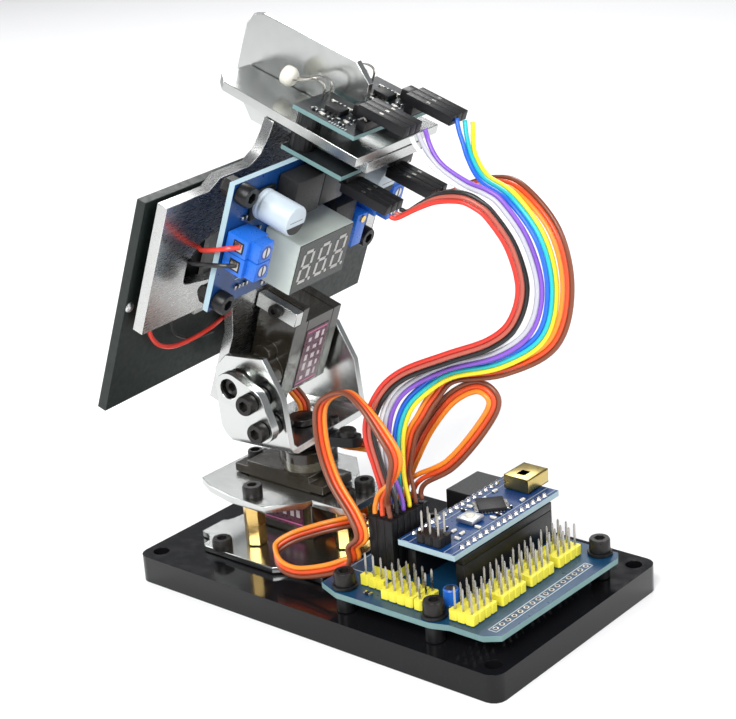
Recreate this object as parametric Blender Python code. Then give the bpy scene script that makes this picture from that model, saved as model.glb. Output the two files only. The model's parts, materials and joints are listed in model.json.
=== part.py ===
"""Two-axis sun tracker kit: a servo pan-and-tilt head carrying a solar panel, a voltage meter and four light
sensors, with its controller, on one base slab.

Sizes are in millimetres and the helpers turn them into metres. Three frames are used: the base frame, the
pan frame, whose Z axis is the lower servo's shaft, and the head frame, whose Y axis is the upper servo's
shaft. In the head frame a point is (depth behind the panel's back, across, height above its lower edge).
"""

import math

import bmesh
import bpy
from mathutils import Vector

MM = 0.001
GAP = 0.3

PAN_AXIS = (-28.5, 0.0)
PAN_REST_DEG = 4.88
TILT_AXIS = (-6.1, 57.5)
TILT_REST_DEG = 20.59
HEAD_AXIS = (12.1, -0.3)

SLAB_SIZE = (122.0, 72.0)
SLAB_TOP = 7.6
SLAB_CORNER = 3.5
SLAB_HOLES = (56.5, 31.0)

DECK_TOP = 9.6
STANDOFF_HEIGHT = 12.0
STANDOFF_ACROSS_FLATS = 5.3
STANDOFFS = ((-34.5, -15.7), (-12.2, -4.2), (-12.2, 4.2), (-34.5, 15.7))
PLATE = 2.0
PLATE_LOW = DECK_TOP + STANDOFF_HEIGHT

SERVO_LENGTH = 22.8
SERVO_WIDTH = 12.2
SERVO_EARS = 32.3
SERVO_BOSS = 5.9
SERVO_CENTRE_X = -33.7
EAR_LOW = PLATE_LOW + PLATE + GAP
EAR_THICK = 2.5

SHIELD_LOW = 12.6
PCB = 1.6
SHIELD_TOP = SHIELD_LOW + PCB
SHIELD_POSTS = ((9.0, -29.2), (37.6, -29.2), (53.0, 20.6), (9.0, 8.0))
CONTROLLER_CENTRE = (28.9, 2.2)
CONTROLLER_SIZE = (17.8, 45.2)
CONTROLLER_LOW = 25.2
PIN_ROWS = (36.55, 21.3)
PIN_PITCH = 2.54
PLUG_BLOCK = ((10.7, -20.5, 14.5), (18.3, -5.0, 31.0))

CHEEK_OUTER = 17.25
SHEET = 2.0
YOKE_LOW = 38.8
YOKE_TOP = YOKE_LOW + SHEET
HORN_ARM_OUTER = -22.3
HORN_ARM_THICK = 2.8

PANEL_SIZE = (110.0, 60.0)
HEAD_CENTRE_Y = -1.9
PANEL_THICK = 2.6
HEAD_PLATE = (2.0, 5.0)
METER_FACE = 14.45
METER_Y = (-43.4, 22.6)
METER_U = (32.6, 68.2)
METER_POSTS = ((-40.4, 35.4), (-40.4, 65.4), (19.6, 35.4), (19.6, 65.4))
NUT_THICK = 2.4
SHELF_TOP = 76.8
SHELF_THICK = 2.5
SENSOR_PCB = (18.7, 15.0, 1.2)
LEAD_DIAMETER = 1.9


# ---------------------------------------------------------------- helpers


def clear_scene():
    for obj in list(bpy.data.objects):
        bpy.data.objects.remove(obj, do_unlink=True)


def material(name, colour, roughness, metallic=0.0):
    made = bpy.data.materials.new(name)
    made.use_nodes = True
    shader = made.node_tree.nodes["Principled BSDF"]
    shader.inputs["Base Color"].default_value = (*colour, 1.0)
    shader.inputs["Roughness"].default_value = roughness
    shader.inputs["Metallic"].default_value = metallic
    return made


def frame(name, parent, location, rotation_deg=(0, 0, 0)):
    empty = bpy.data.objects.new(name, None)
    bpy.context.collection.objects.link(empty)
    empty.parent = parent
    empty.location = [MM * value for value in location]
    empty.rotation_euler = [math.radians(value) for value in rotation_deg]
    return empty


def circle(centre, radius, sides, turn_deg=0.0):
    turn = math.radians(turn_deg)
    angles = [turn + 2 * math.pi * i / sides for i in range(sides)]
    return [(centre[0] + radius * math.cos(a), centre[1] + radius * math.sin(a)) for a in angles]


def rounded(corners, radius, steps=4):
    """The polygon with each corner replaced by an arc of this radius."""
    outline = []
    for i, corner in enumerate(corners):
        here = Vector(corner)
        back = (Vector(corners[i - 1]) - here).normalized()
        ahead = (Vector(corners[(i + 1) % len(corners)]) - here).normalized()
        half = back.angle(ahead) / 2
        middle = here + (back + ahead).normalized() * radius / math.sin(half)
        start = (here + back * radius / math.tan(half) - middle).normalized()
        end = (here + ahead * radius / math.tan(half) - middle).normalized()
        for step in range(steps + 1):
            outline.append(tuple(middle + radius * start.slerp(end, step / steps)))
    return outline


def rectangle(low, high):
    return [(low[0], low[1]), (high[0], low[1]), (high[0], high[1]), (low[0], high[1])]


def hull(points):
    """The convex outline round the points, anticlockwise."""
    ordered = sorted(set(points))

    def chain(row):
        kept = []
        for point in row:
            while len(kept) > 1:
                a, b = kept[-2], kept[-1]
                if (b[0] - a[0]) * (point[1] - a[1]) - (b[1] - a[1]) * (point[0] - a[0]) > 1e-9:
                    break
                kept.pop()
            kept.append(point)
        return kept[:-1]

    return chain(ordered) + chain(ordered[::-1])


def prism(outline, low, high, axis="z"):
    """A closed solid from an outline in the two other axes, run along one axis from low to high."""
    order = {
        "x": lambda a, b, t: (t, a, b),
        "y": lambda a, b, t: (a, t, b),
        "z": lambda a, b, t: (a, b, t),
    }[axis]
    bm = bmesh.new()
    rings = [[bm.verts.new([MM * v for v in order(a, b, t)]) for a, b in outline] for t in (low, high)]
    for ring in rings:
        bm.faces.new(ring)
    count = len(outline)
    for i in range(count):
        after = (i + 1) % count
        bm.faces.new((rings[0][i], rings[0][after], rings[1][after], rings[1][i]))
    bmesh.ops.recalc_face_normals(bm, faces=bm.faces)
    return bm


def box(low, high):
    return prism(rectangle(low[:2], high[:2]), low[2], high[2])


def rod(centre, radius, low, high, axis="z", sides=16):
    return prism(circle(centre, radius, sides, 180 / sides), low, high, axis)


def link_mesh(name, bm, parent, offset):
    mesh = bpy.data.meshes.new(name)
    bm.to_mesh(mesh)
    bm.free()
    obj = bpy.data.objects.new(name, mesh)
    bpy.context.collection.objects.link(obj)
    obj.parent = parent
    obj.location = [MM * value for value in offset]
    return obj


def boolean(obj, bm, operation, count):
    tool = link_mesh(f"{obj.name}_tool_{count}", bm, obj.parent, [v / MM for v in obj.location])
    tool.hide_render = True
    tool.display_type = "WIRE"
    modifier = obj.modifiers.new(f"{operation.title()} {count}", "BOOLEAN")
    modifier.object = tool
    modifier.operation = operation
    modifier.solver = "EXACT"


def solid(name, look, place, shape, add=(), cut=(), keep=()):
    """One named piece: a shape, with others joined to it, cut from it, or limiting it."""
    parent, offset = place
    obj = link_mesh(name, shape, parent, offset)
    obj.data.materials.append(look)
    steps = [(bm, "UNION") for bm in add] + [(bm, "DIFFERENCE") for bm in cut] + [(bm, "INTERSECT") for bm in keep]
    for count, (bm, operation) in enumerate(steps):
        boolean(obj, bm, operation, count)
    return obj


def smooth_route(points, steps=2):
    """Points on a Catmull-Rom curve through the route's own points."""
    route = [Vector(p) for p in points]
    route = [2 * route[0] - route[1], *route, 2 * route[-1] - route[-2]]
    made = []
    for i in range(1, len(route) - 2):
        a, b, c, d = route[i - 1 : i + 3]
        for step in range(steps):
            t = step / steps
            bend = (2 * a - 5 * b + 4 * c - d) * t * t + (3 * b - a - 3 * c + d) * t**3
            made.append((2 * b + (c - a) * t + bend) / 2)
    return [*made, route[-2]]


def tube(name, look, points, diameter=LEAD_DIAMETER):
    curve = bpy.data.curves.new(name, "CURVE")
    curve.dimensions = "3D"
    curve.bevel_depth = MM * diameter / 2
    curve.bevel_resolution = 2
    curve.use_fill_caps = True
    route = smooth_route(points)
    spline = curve.splines.new("POLY")
    spline.points.add(len(route) - 1)
    for point, place in zip(spline.points, route):
        point.co = (*(MM * place), 1.0)
    obj = bpy.data.objects.new(name, curve)
    obj.data.materials.append(look)
    bpy.context.collection.objects.link(obj)


# ---------------------------------------------------------------- base


def base_slab(place, look):
    half_x, half_y = SLAB_SIZE[0] / 2, SLAB_SIZE[1] / 2
    outline = rounded(rectangle((-half_x, -half_y), (half_x, half_y)), SLAB_CORNER)
    x, y = SLAB_HOLES
    holes = [rod((sx * x, sy * y), 2.25, -1, SLAB_TOP + 1, sides=12) for sx in (-1, 1) for sy in (-1, 1)]
    solid("base_slab", look, place, prism(outline, 0, SLAB_TOP), cut=holes)


def mirrored(side):
    """A whole outline from its half below y = 0."""
    return side + [(x, -y) for x, y in reversed(side)]


def lower_deck(place, look):
    left = [(-50.2, -3.1), (-51.4, -9.2), (-52.8, -10.1), (-52.7, -18.4), (-49.9, -18.9), (-47.0, -21.5)]
    front = [(-46.8, -23.9), (-45.3, -24.8), (-20.7, -24.8), (-17.7, -22.2), (-5.2, -22.4)]
    opening = box((-45.6, -6.6, 0), (-21.8, 6.6, 20))
    deck = prism(mirrored(left + front), SLAB_TOP + GAP, DECK_TOP)
    solid("lower_deck", look, place, deck, cut=[opening])


def standoffs(place, look):
    radius = STANDOFF_ACROSS_FLATS / math.sqrt(3)
    for number, centre in enumerate(STANDOFFS, 1):
        shape = rod(centre, radius, DECK_TOP + GAP, PLATE_LOW - GAP, sides=6)
        solid(f"standoff_{number}", look, place, shape)


def upper_plate(place, look):
    body = [(-55.5, -14.0), (-54.0, -14.8), (-49.2, -17.2), (-39.4, -19.2), (-27.1, -19.4), (-19.8, -11.9)]
    tab = [(-18.7, -9.2), (-8.9, -9.3), (-6.4, -7.6)]
    opening = box((-45.6, -6.6, 0), (-21.8, 6.6, 40))
    plate = prism(mirrored(body + tab), PLATE_LOW, PLATE_LOW + PLATE)
    solid("upper_plate", look, place, plate, cut=[opening])


def pan_servo(place, look):
    half, width = SERVO_LENGTH / 2, SERVO_WIDTH / 2
    body = box((SERVO_CENTRE_X - half, -width, 8.2), (SERVO_CENTRE_X + half, width, 28.2))
    ears = SERVO_EARS / 2
    ear = box((SERVO_CENTRE_X - ears, -width, EAR_LOW), (SERVO_CENTRE_X + ears, width, EAR_LOW + EAR_THICK))
    boss = rod(PAN_AXIS, SERVO_BOSS, 27.0, 33.6, sides=20)
    bump = rod((PAN_AXIS[0] - 6.3, 0), 2.6, 27.0, 32.0, sides=12)
    solid("pan_servo", look, place, body, add=[ear, boss, bump])


def shield_board(place, look):
    near = [(2.2, -30.5), (8.9, -33.0), (38.5, -32.6), (43.5, -30.9), (53.5, -30.9), (57.2, -28.2)]
    far = [(58.2, 21.0), (56.6, 23.6), (2.2, 23.6)]
    holes = [rod(post, 1.9, SHIELD_LOW - 1, SHIELD_TOP + 1, sides=12) for post in SHIELD_POSTS]
    solid("shield_board", look, place, prism(near + far, SHIELD_LOW, SHIELD_TOP), cut=holes)


def shield_posts(place, look):
    """A spacer, the screw through the board, its washer and its socket head, as one turned piece each."""
    for number, centre in enumerate(SHIELD_POSTS, 1):
        spacer = rod(centre, 2.5, SLAB_TOP + GAP, SHIELD_LOW - GAP)
        shaft = rod(centre, 1.5, SLAB_TOP + 1, SHIELD_TOP + 2, sides=12)
        washer = rod(centre, 3.3, SHIELD_TOP + GAP, SHIELD_TOP + 1.3)
        head = rod(centre, 2.75, SHIELD_TOP + 1, SHIELD_TOP + 4.6)
        socket = rod(centre, 1.45, SHIELD_TOP + 3.0, SHIELD_TOP + 6, sides=6)
        solid(f"shield_post_{number}", look, place, spacer, add=[shaft, washer, head], cut=[socket])


def controller(place, looks):
    (x, y), (width, length) = CONTROLLER_CENTRE, CONTROLLER_SIZE
    top = CONTROLLER_LOW + PCB
    board = box((x - width / 2, y - length / 2, CONTROLLER_LOW), (x + width / 2, y + length / 2, top))
    solid("controller_board", looks["board"], place, board)
    strip_half = 7.5 * PIN_PITCH
    for name, row in zip(("socket_strip_near", "socket_strip_far"), PIN_ROWS):
        low = (row - 1.27, y - strip_half, SHIELD_TOP + GAP)
        high = (row + 1.27, y + strip_half, CONTROLLER_LOW - GAP)
        solid(name, looks["black"], place, box(low, high))
    usb = box((x - 3.9, 18.2, top + GAP), (x + 3.9, 27.4, top + 4.2))
    mouth = box((x - 3.3, 21.5, top + 1.0), (x + 3.3, 28.0, top + 3.5))
    solid("usb_socket", looks["gold"], place, usb, cut=[mouth])
    key = box((x - 0.9, -3.4, top + 0.6), (x + 1.7, -1.6, top + 2.0))
    solid("reset_button", looks["gold"], place, key)


def shield_parts(place, looks):
    jack = box((9.7, 12.6, SHIELD_TOP + GAP), (18.7, 26.8, 25.2))
    bore = rod((14.2, 20.6), 3.2, 17.5, 28.0, axis="y", sides=12)
    solid("dc_jack", looks["black"], place, jack, cut=[bore])
    side = box((41.6, -28.8, SHIELD_TOP + GAP), (49.2, 18.0, 17.0))
    solid("signal_headers_side", looks["yellow"], place, side)
    end = box((19.4, -29.6, SHIELD_TOP + GAP), (33.8, -21.7, 17.0))
    step = box((11.3, -26.3, SHIELD_TOP + GAP), (20.0, -21.7, 17.0))
    solid("signal_headers_end", looks["yellow"], place, end, add=[step])
    solid("plug_block", looks["black"], place, box(*PLUG_BLOCK))


# ---------------------------------------------------------------- yoke


def pan_horn(place, look):
    arm_end = (14.3, 3.0)
    arm = prism(hull(circle((0, 0), 3.6, 16) + circle(arm_end, 2.4, 16)), 35.8, YOKE_LOW - GAP)
    hub = rod((0, 0), 3.5, 33.9, 37.0)
    solid("pan_horn", look, place, arm, add=[hub])


def yoke(place, look):
    out, inn = CHEEK_OUTER, CHEEK_OUTER - SHEET
    bend = [(-out, 70), (-out, YOKE_LOW + 3), (-out + 1, YOKE_LOW + 0.9), (-out + 3, YOKE_LOW)]
    inside = [(-inn, 70), (-inn, YOKE_TOP + 1), (-inn + 1, YOKE_TOP)]
    section = bend + [(-y, z) for y, z in reversed(bend)] + [(-y, z) for y, z in inside] + inside[::-1]
    rear = [(9, 38), (9, 40.5), (8.7, 42), (7.4, 54.9), (1.9, 65.2)]
    front = [(-10.5, 64.6), (-14.4, 60.6), (-14.7, 52.5), (-14.0, 44.0), (-11.7, 40.0), (-11.9, 38)]
    outline = prism(rear + front, -20, 20, axis="y")
    horn_hole = rod(TILT_AXIS, 4.0, -20, 0, axis="y")
    pivot_hole = rod(TILT_AXIS, 1.9, 0, 20, axis="y", sides=12)
    lead_hole = rod((-5.2, 8.0), 2.6, 35, 45, sides=12)
    screw_hole = rod((0, 0), 1.6, 35, 45, sides=12)
    cuts = [horn_hole, pivot_hole, lead_hole, screw_hole]
    solid("yoke", look, place, prism(section, -15.5, 9.5, axis="x"), cut=cuts, keep=[outline])


def yoke_fixings(place, look):
    washer = rod((0, 0), 4.0, YOKE_TOP + GAP, YOKE_TOP + 1.3)
    head = rod((0, 0), 2.6, YOKE_TOP + 1, YOKE_TOP + 2.4)
    solid("yoke_screw", look, place, washer, add=[head])


ARM_SCREWS = ((0.85, 54.75), (3.85, 47.45))


def tilt_horn(place, looks):
    inner = HORN_ARM_OUTER + HORN_ARM_THICK
    first, second = ARM_SCREWS
    upper = prism(hull(circle(TILT_AXIS, 4.4, 16) + circle(first, 3.9, 16)), HORN_ARM_OUTER, inner, axis="y")
    lower = prism(hull(circle(first, 3.9, 16) + circle(second, 3.6, 16)), HORN_ARM_OUTER, inner, axis="y")
    hub = rod(TILT_AXIS, 3.4, inner - 1, -14.9, axis="y")
    bore = rod(TILT_AXIS, 2.8, HORN_ARM_OUTER - 1, -17.5, axis="y", sides=16)
    holes = [rod(screw, 1.8, HORN_ARM_OUTER - 1, inner + 1, axis="y", sides=12) for screw in ARM_SCREWS]
    solid("tilt_horn", looks["metal"], place, upper, add=[lower, hub], cut=[bore, *holes])
    for number, screw in enumerate(ARM_SCREWS, 1):
        head = rod(screw, 2.75, -25.3, HORN_ARM_OUTER - GAP, axis="y")
        shaft = rod(screw, 1.45, -24.0, -18.0, axis="y", sides=12)
        spacer = rod(screw, 3.0, inner + GAP, -CHEEK_OUTER - GAP, axis="y")
        socket = rod(screw, 1.3, -26.0, -23.8, axis="y", sides=6)
        solid(f"arm_screw_{number}", looks["black"], place, head, add=[shaft, spacer], cut=[socket])


# ---------------------------------------------------------------- tilting head


def on_face(outline, low, high):
    """A prism of an (across, height) outline, run through the depth."""
    return prism(outline, low, high, axis="x")


def tilt_servo(place, look):
    n0, n1 = HEAD_AXIS[0] - SERVO_WIDTH / 2, HEAD_AXIS[0] + SERVO_WIDTH / 2
    body = box((n0, -6.6, -6.2), (n1, 14.0, -6.2 + SERVO_LENGTH))
    ears = box((n0, -4.6, -11.0), (n1, -2.1, -11.0 + SERVO_EARS))
    boss = rod(HEAD_AXIS, SERVO_BOSS, -12.0, -6.0, axis="y", sides=20)
    bump = rod((HEAD_AXIS[0], HEAD_AXIS[1] + 6.3), 2.6, -10.4, -6.0, axis="y", sides=12)
    spline = rod(HEAD_AXIS, 2.3, -14.5, -11.0, axis="y", sides=12)
    solid("tilt_servo", look, place, body, add=[ears, boss, bump, spline])


def servo_clamps(place, look):
    for name, low in (("clamp_upper", 16.9), ("clamp_lower", -11.0)):
        bar = box((HEAD_PLATE[1] + GAP, -7.8, low), (18.4, -4.9, low + 4.2))
        solid(name, look, place, bar)


def pivot_screw(place, look):
    shaft = rod(HEAD_AXIS, 1.5, 14.3, 18.2, axis="y", sides=12)
    head = rod(HEAD_AXIS, 2.75, CHEEK_OUTER + GAP, 19.8, axis="y")
    solid("pivot_screw", look, place, shaft, add=[head])


def head_plate(place, look):
    strip = [(-14.7, -11.5), (-14.7, 9.5), (-19.0, 22.5), (-30.5, 24.6)]
    left = [(-55.0, 25.0), (-55.0, 60.6), (-39.5, 60.6), (-36.0, 63.4), (-24.5, 63.4)]
    neck_left = [(-20.8, 66.0), (-19.3, 70.0), (-18.5, 74.0)]
    neck_right = [(14.5, 74.0), (16.0, 69.7), (19.0, 68.0), (23.0, 68.0), (23.0, 61.0)]
    right = [(43.6, 61.0), (43.6, 23.5), (19.0, 22.5), (14.7, 9.5), (14.7, -11.5)]
    outline = strip + left + neck_left + neck_right + right
    tab = box((3.0, -14.0, 71.0), (31.0, 10.0, 74.0))
    corners = [(-42.3, 35.0), (-27.0, 32.4), (-27.0, 48.4), (-38.0, 46.0), (-42.3, 41.5)]
    cable_slot = on_face(rounded(corners, 1.6, 3), 0, 8)
    shape = on_face(outline, *HEAD_PLATE)
    solid("head_plate", look, place, shape, add=[tab], cut=[cable_slot])


def solar_panel(place, look):
    half = PANEL_SIZE[0] / 2
    low = (-PANEL_THICK, HEAD_CENTRE_Y - half, 0)
    high = (0, HEAD_CENTRE_Y + half, PANEL_SIZE[1])
    solid("solar_panel", look, place, box(low, high))


def meter(place, looks):
    back = METER_FACE - PCB
    face = METER_FACE + GAP
    board = on_face(rectangle((METER_Y[0], METER_U[0]), (METER_Y[1], METER_U[1])), back, METER_FACE)
    holes = [on_face(circle(post, 1.7, 12), back - 1, METER_FACE + 1) for post in METER_POSTS]
    solid("meter_board", looks["board"], place, board, cut=holes)
    for number, post in enumerate(METER_POSTS, 1):
        foot = HEAD_PLATE[1] + GAP if post[0] > 0 else back - GAP - NUT_THICK
        spacer = on_face(circle(post, 2.6, 16), foot, back - GAP)
        shaft = on_face(circle(post, 1.35, 12), foot + 1, METER_FACE + 2)
        head = on_face(circle(post, 2.8, 16), face, face + 3.2)
        solid(f"meter_post_{number}", looks["black"], place, spacer, add=[shaft, head])
    solid("meter_display", looks["white"], place, box((face, -26.3, 37.4), (25.7, -3.8, 51.7)))
    for name, low, out in (("terminal_left", -42.4, -1), ("terminal_right", 13.8, 1)):
        entries = []
        for u in (47.9, 53.0):
            mid = low + 3.9 + out * 3.9
            entries.append(box((face + 2.4, mid - 3.5, u - 1.6), (face + 6.0, mid + 3.5, u + 1.6)))
        block = box((face, low, 45.2), (24.0, low + 7.8, 55.7))
        solid(name, looks["blue"], place, block, cut=entries)
    for name, centre in (("capacitor_left", (-31.7, 60.5)), ("capacitor_right", (7.0, 60.0))):
        solid(name, looks["can"], place, on_face(circle(centre, 4.0, 20), face, 26.0))


def sensor_cross(place, look):
    centre = HEAD_CENTRE_Y
    corners = [(-15.8, centre - 12.5), (-12.6, centre - 15.6), (31, centre - 17.8)]
    outline = corners + [(n, 2 * centre - y) for n, y in reversed(corners)]
    shelf = prism(outline, SHELF_TOP - SHELF_THICK, SHELF_TOP)
    slot = box((-20, centre - 1.3, 70), (1.8, centre + 1.3, 80))
    solid("sensor_shelf", look, place, shelf, cut=[slot])
    lower = [(-19.4, 70.0), (-12.0, 62.6), (1.4, 62.6), (1.4, SHELF_TOP + GAP), (19.4, SHELF_TOP + GAP)]
    upper = [(19.4, 87.0), (14.4, 91.0), (-15.0, 91.0), (-18.1, 89.7), (-19.4, 86.6)]
    solid("sensor_divider", look, place, prism(lower + upper, centre - 1, centre + 1, axis="y"))


def sensors(place, looks):
    length, width, thick = SENSOR_PCB
    boards = ((9.6, -19.0, 80.0), (10.6, 0.2, 80.0), (8.9, -19.0, 68.7), (9.9, 0.2, 68.7))
    plugs = ((25.0, -15.0, 84.8), (27.5, 1.6, 84.8), (26.4, -16.4, 64.6), (28.0, 1.0, 64.6))
    for number, (board, plug) in enumerate(zip(boards, plugs), 1):
        n, y, u = board
        solid(f"sensor_board_{number}", looks["board"], place, box(board, (n + length, y + width, u + thick)))
        n, y, u = plug
        solid(f"sensor_plug_{number}", looks["black"], place, box(plug, (n + 13.8, y + 7.6, u + 2.5)))


# ---------------------------------------------------------------- leads

SENSOR_LEAD_1 = (
    (22.3, -6.0, 128.0), (23.6, -5.5, 124.5), (27.5, -5.0, 120.0), (34.5, -4.5, 116.5), (40.0, -4.0, 115.0),
    (44.0, -3.5, 112.5), (50.0, -2.5, 104.0), (53.5, -3.0, 93.0), (51.5, -5.0, 83.0), (43.5, -7.5, 76.5),
    (31.0, -10.5, 72.0), (21.5, -13.0, 66.5), (16.5, -14.5, 61.0), (13.5, -14.5, 53.0), (13.5, -14.5, 43.5),
    (14.5, -14.1, 36.0), (14.5, -14.1, 31.5),
)
SENSOR_LEAD_2 = (
    (23.6, 10.6, 127.4), (25.5, 8.6, 123.5), (28.5, 6.0, 119.5), (33.5, 3.5, 115.5), (44.0, -0.5, 113.0),
    (52.5, -1.5, 104.5), (55.5, -2.0, 93.0), (53.5, -4.0, 82.0), (43.0, -6.0, 74.5), (29.5, -8.0, 70.0),
    (22.0, -10.5, 64.5), (17.5, -12.0, 59.0), (14.5, -12.0, 51.0), (14.0, -11.5, 42.0), (14.5, -11.6, 36.0),
    (14.5, -11.6, 31.5),
)
SENSOR_LEAD_3 = (
    (17.0, -9.9, 108.6), (19.0, -9.5, 108.4), (23.5, -8.5, 111.0), (29.0, -7.5, 114.0), (35.0, -6.5, 115.0),
    (39.5, -5.5, 113.5), (43.0, -4.5, 110.5), (48.0, -3.5, 103.0), (51.0, -4.0, 93.0), (49.0, -6.0, 84.0),
    (43.5, -9.0, 78.5), (33.0, -13.0, 74.0), (21.5, -15.5, 68.5), (15.5, -17.0, 62.5), (11.5, -17.0, 53.5),
    (13.0, -17.0, 44.0), (14.5, -16.7, 36.0), (14.5, -16.7, 31.5),
)
SENSOR_LEAD_4 = (
    (16.6, 8.2, 108.4), (19.0, 9.0, 109.0), (24.5, 9.0, 111.5), (33.0, 7.0, 113.5), (44.0, 2.5, 114.0),
    (55.0, 0.0, 106.0), (58.5, -1.0, 93.0), (55.5, -3.0, 80.5), (42.5, -4.5, 72.5), (27.5, -5.5, 68.0),
    (22.5, -8.0, 62.0), (19.5, -9.5, 56.5), (16.0, -9.5, 50.5), (14.0, -9.0, 40.5), (14.5, -9.1, 36.0),
    (14.5, -9.1, 31.5),
)
PAN_SERVO_LEAD = (
    (-21.8, 0.0, 12.0), (-17.0, 0.0, 12.5), (-12.0, 0.0, 14.0), (-7.5, -1.5, 17.0), (-6.0, -5.5, 19.5),
    (-8.5, -10.0, 19.6), (-12.4, -14.0, 18.8), (-17.1, -20.0, 17.4), (-19.3, -24.0, 15.0), (-14.5, -27.5, 13.2),
    (-9.0, -27.0, 12.4), (-1.2, -25.2, 14.4), (4.0, -23.0, 16.6), (7.0, -22.8, 19.0), (7.4, -23.4, 22.4),
    (10.4, -23.2, 26.0), (7.8, -22.4, 31.0), (0.5, -21.0, 38.5), (-4.0, -19.5, 48.0), (-4.0, -18.5, 57.5),
    (3.8, -18.5, 62.5), (10.5, -19.8, 61.0), (17.5, -21.0, 55.5), (21.8, -21.5, 49.5), (19.2, -20.8, 42.0),
    (15.2, -19.4, 36.5), (14.5, -19.2, 33.6), (14.5, -19.2, 31.5),
)
TILT_SERVO_LEAD = (
    (-36.9, 4.3, 51.4), (-36.4, 5.0, 48.0), (-34.6, 7.2, 43.0), (-34.2, 7.6, 38.5), (-30.5, 9.4, 35.2),
    (-22.5, 9.0, 33.2), (-10.0, 8.0, 34.5), (-3.5, 6.5, 32.0), (1.5, 3.5, 29.8), (6.4, 0.2, 32.6),
    (11.0, -2.5, 39.0), (18.0, -3.5, 50.5), (26.5, -4.0, 60.5), (35.0, -4.0, 65.3), (39.7, -4.0, 62.2),
    (35.0, -4.0, 53.8), (25.5, -4.6, 42.6), (17.0, -6.0, 37.0), (14.6, -6.5, 33.6), (14.6, -6.5, 31.5),
)


def leads(look):
    routes = (SENSOR_LEAD_1, SENSOR_LEAD_2, SENSOR_LEAD_3, SENSOR_LEAD_4)
    for number, route in enumerate(routes, 1):
        tube(f"sensor_lead_{number}", look, route)
    tube("pan_servo_lead", look, PAN_SERVO_LEAD)
    tube("tilt_servo_lead", look, TILT_SERVO_LEAD)


def main():
    clear_scene()
    looks = {
        "acrylic": material("gloss black acrylic", (0.012, 0.012, 0.014), 0.12),
        "metal": material("polished aluminium", (0.80, 0.81, 0.82), 0.22, 1.0),
        "brass": material("brass", (0.83, 0.60, 0.24), 0.25, 1.0),
        "smoke": material("smoky nylon", (0.035, 0.022, 0.016), 0.25),
        "board": material("blue circuit board", (0.01, 0.07, 0.25), 0.35),
        "dark board": material("black circuit board", (0.01, 0.012, 0.014), 0.35),
        "black": material("black plastic", (0.012, 0.012, 0.013), 0.4),
        "gold": material("gilt shell", (0.78, 0.62, 0.25), 0.3, 1.0),
        "yellow": material("yellow plastic", (0.85, 0.75, 0.02), 0.4),
        "white": material("white plastic", (0.8, 0.82, 0.82), 0.35),
        "blue": material("blue plastic", (0.02, 0.16, 0.65), 0.35),
        "can": material("aluminium can", (0.75, 0.76, 0.77), 0.35, 1.0),
        "cell": material("solar cell glass", (0.01, 0.03, 0.025), 0.2),
        "lead": material("orange lead", (0.8, 0.25, 0.05), 0.4),
    }
    base = (frame("base_frame", None, (0, 0, 0)), (0, 0, 0))
    pan_frame = frame("pan_frame", base[0], (*PAN_AXIS, 0), (0, 0, PAN_REST_DEG))
    pan = (pan_frame, (0, 0, 0))
    tilt_frame = frame("tilt_frame", pan_frame, (TILT_AXIS[0], 0, TILT_AXIS[1]), (0, TILT_REST_DEG, 0))
    head = (tilt_frame, (-HEAD_AXIS[0], 0, -HEAD_AXIS[1]))

    base_slab(base, looks["acrylic"])
    lower_deck(base, looks["metal"])
    standoffs(base, looks["brass"])
    upper_plate(base, looks["metal"])
    pan_servo(base, looks["smoke"])
    shield_board(base, looks["board"])
    shield_posts(base, looks["black"])
    controller(base, looks)
    shield_parts(base, looks)

    pan_horn(pan, looks["metal"])
    yoke(pan, looks["metal"])
    yoke_fixings(pan, looks["black"])
    tilt_horn(pan, looks)

    tilt_servo(head, looks["smoke"])
    servo_clamps(head, looks["metal"])
    pivot_screw(head, looks["black"])
    head_plate(head, looks["metal"])
    solar_panel(head, looks["cell"])
    meter(head, looks)
    sensor_cross(head, looks["metal"])
    sensors(head, {"board": looks["dark board"], "black": looks["black"]})

    leads(looks["lead"])


main()
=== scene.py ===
"""The looks of the two-axis sun tracker: detailed pieces, materials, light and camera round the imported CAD.

Shapes are given in millimetres in one of three frames: the base frame, the pan frame (Z is the lower servo's
shaft) and the head frame, where a point is (depth behind the panel's back, across, height above its edge).
"""

import json
import math

import bmesh
import bpy
from mathutils import Matrix, Vector


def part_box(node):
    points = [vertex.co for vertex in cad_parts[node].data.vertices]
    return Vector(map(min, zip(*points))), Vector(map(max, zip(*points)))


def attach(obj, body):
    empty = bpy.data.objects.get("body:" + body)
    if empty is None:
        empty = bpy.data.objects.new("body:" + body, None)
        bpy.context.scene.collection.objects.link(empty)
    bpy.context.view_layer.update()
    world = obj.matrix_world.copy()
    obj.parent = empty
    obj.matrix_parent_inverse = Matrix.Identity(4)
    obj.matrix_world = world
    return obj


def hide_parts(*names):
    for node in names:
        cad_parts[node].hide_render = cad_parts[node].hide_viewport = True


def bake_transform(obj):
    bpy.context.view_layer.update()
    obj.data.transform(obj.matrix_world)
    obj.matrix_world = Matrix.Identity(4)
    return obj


MM = 0.001
TILT_REST = math.radians(20.59)
HEAD_AXIS = (12.1, -0.3)
WIRE = 1.0
RIBBON_WIRE = 1.25
PITCH = 2.54
SHARP_ANGLE = math.radians(32)
ROUTE_STEPS = 8

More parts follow.
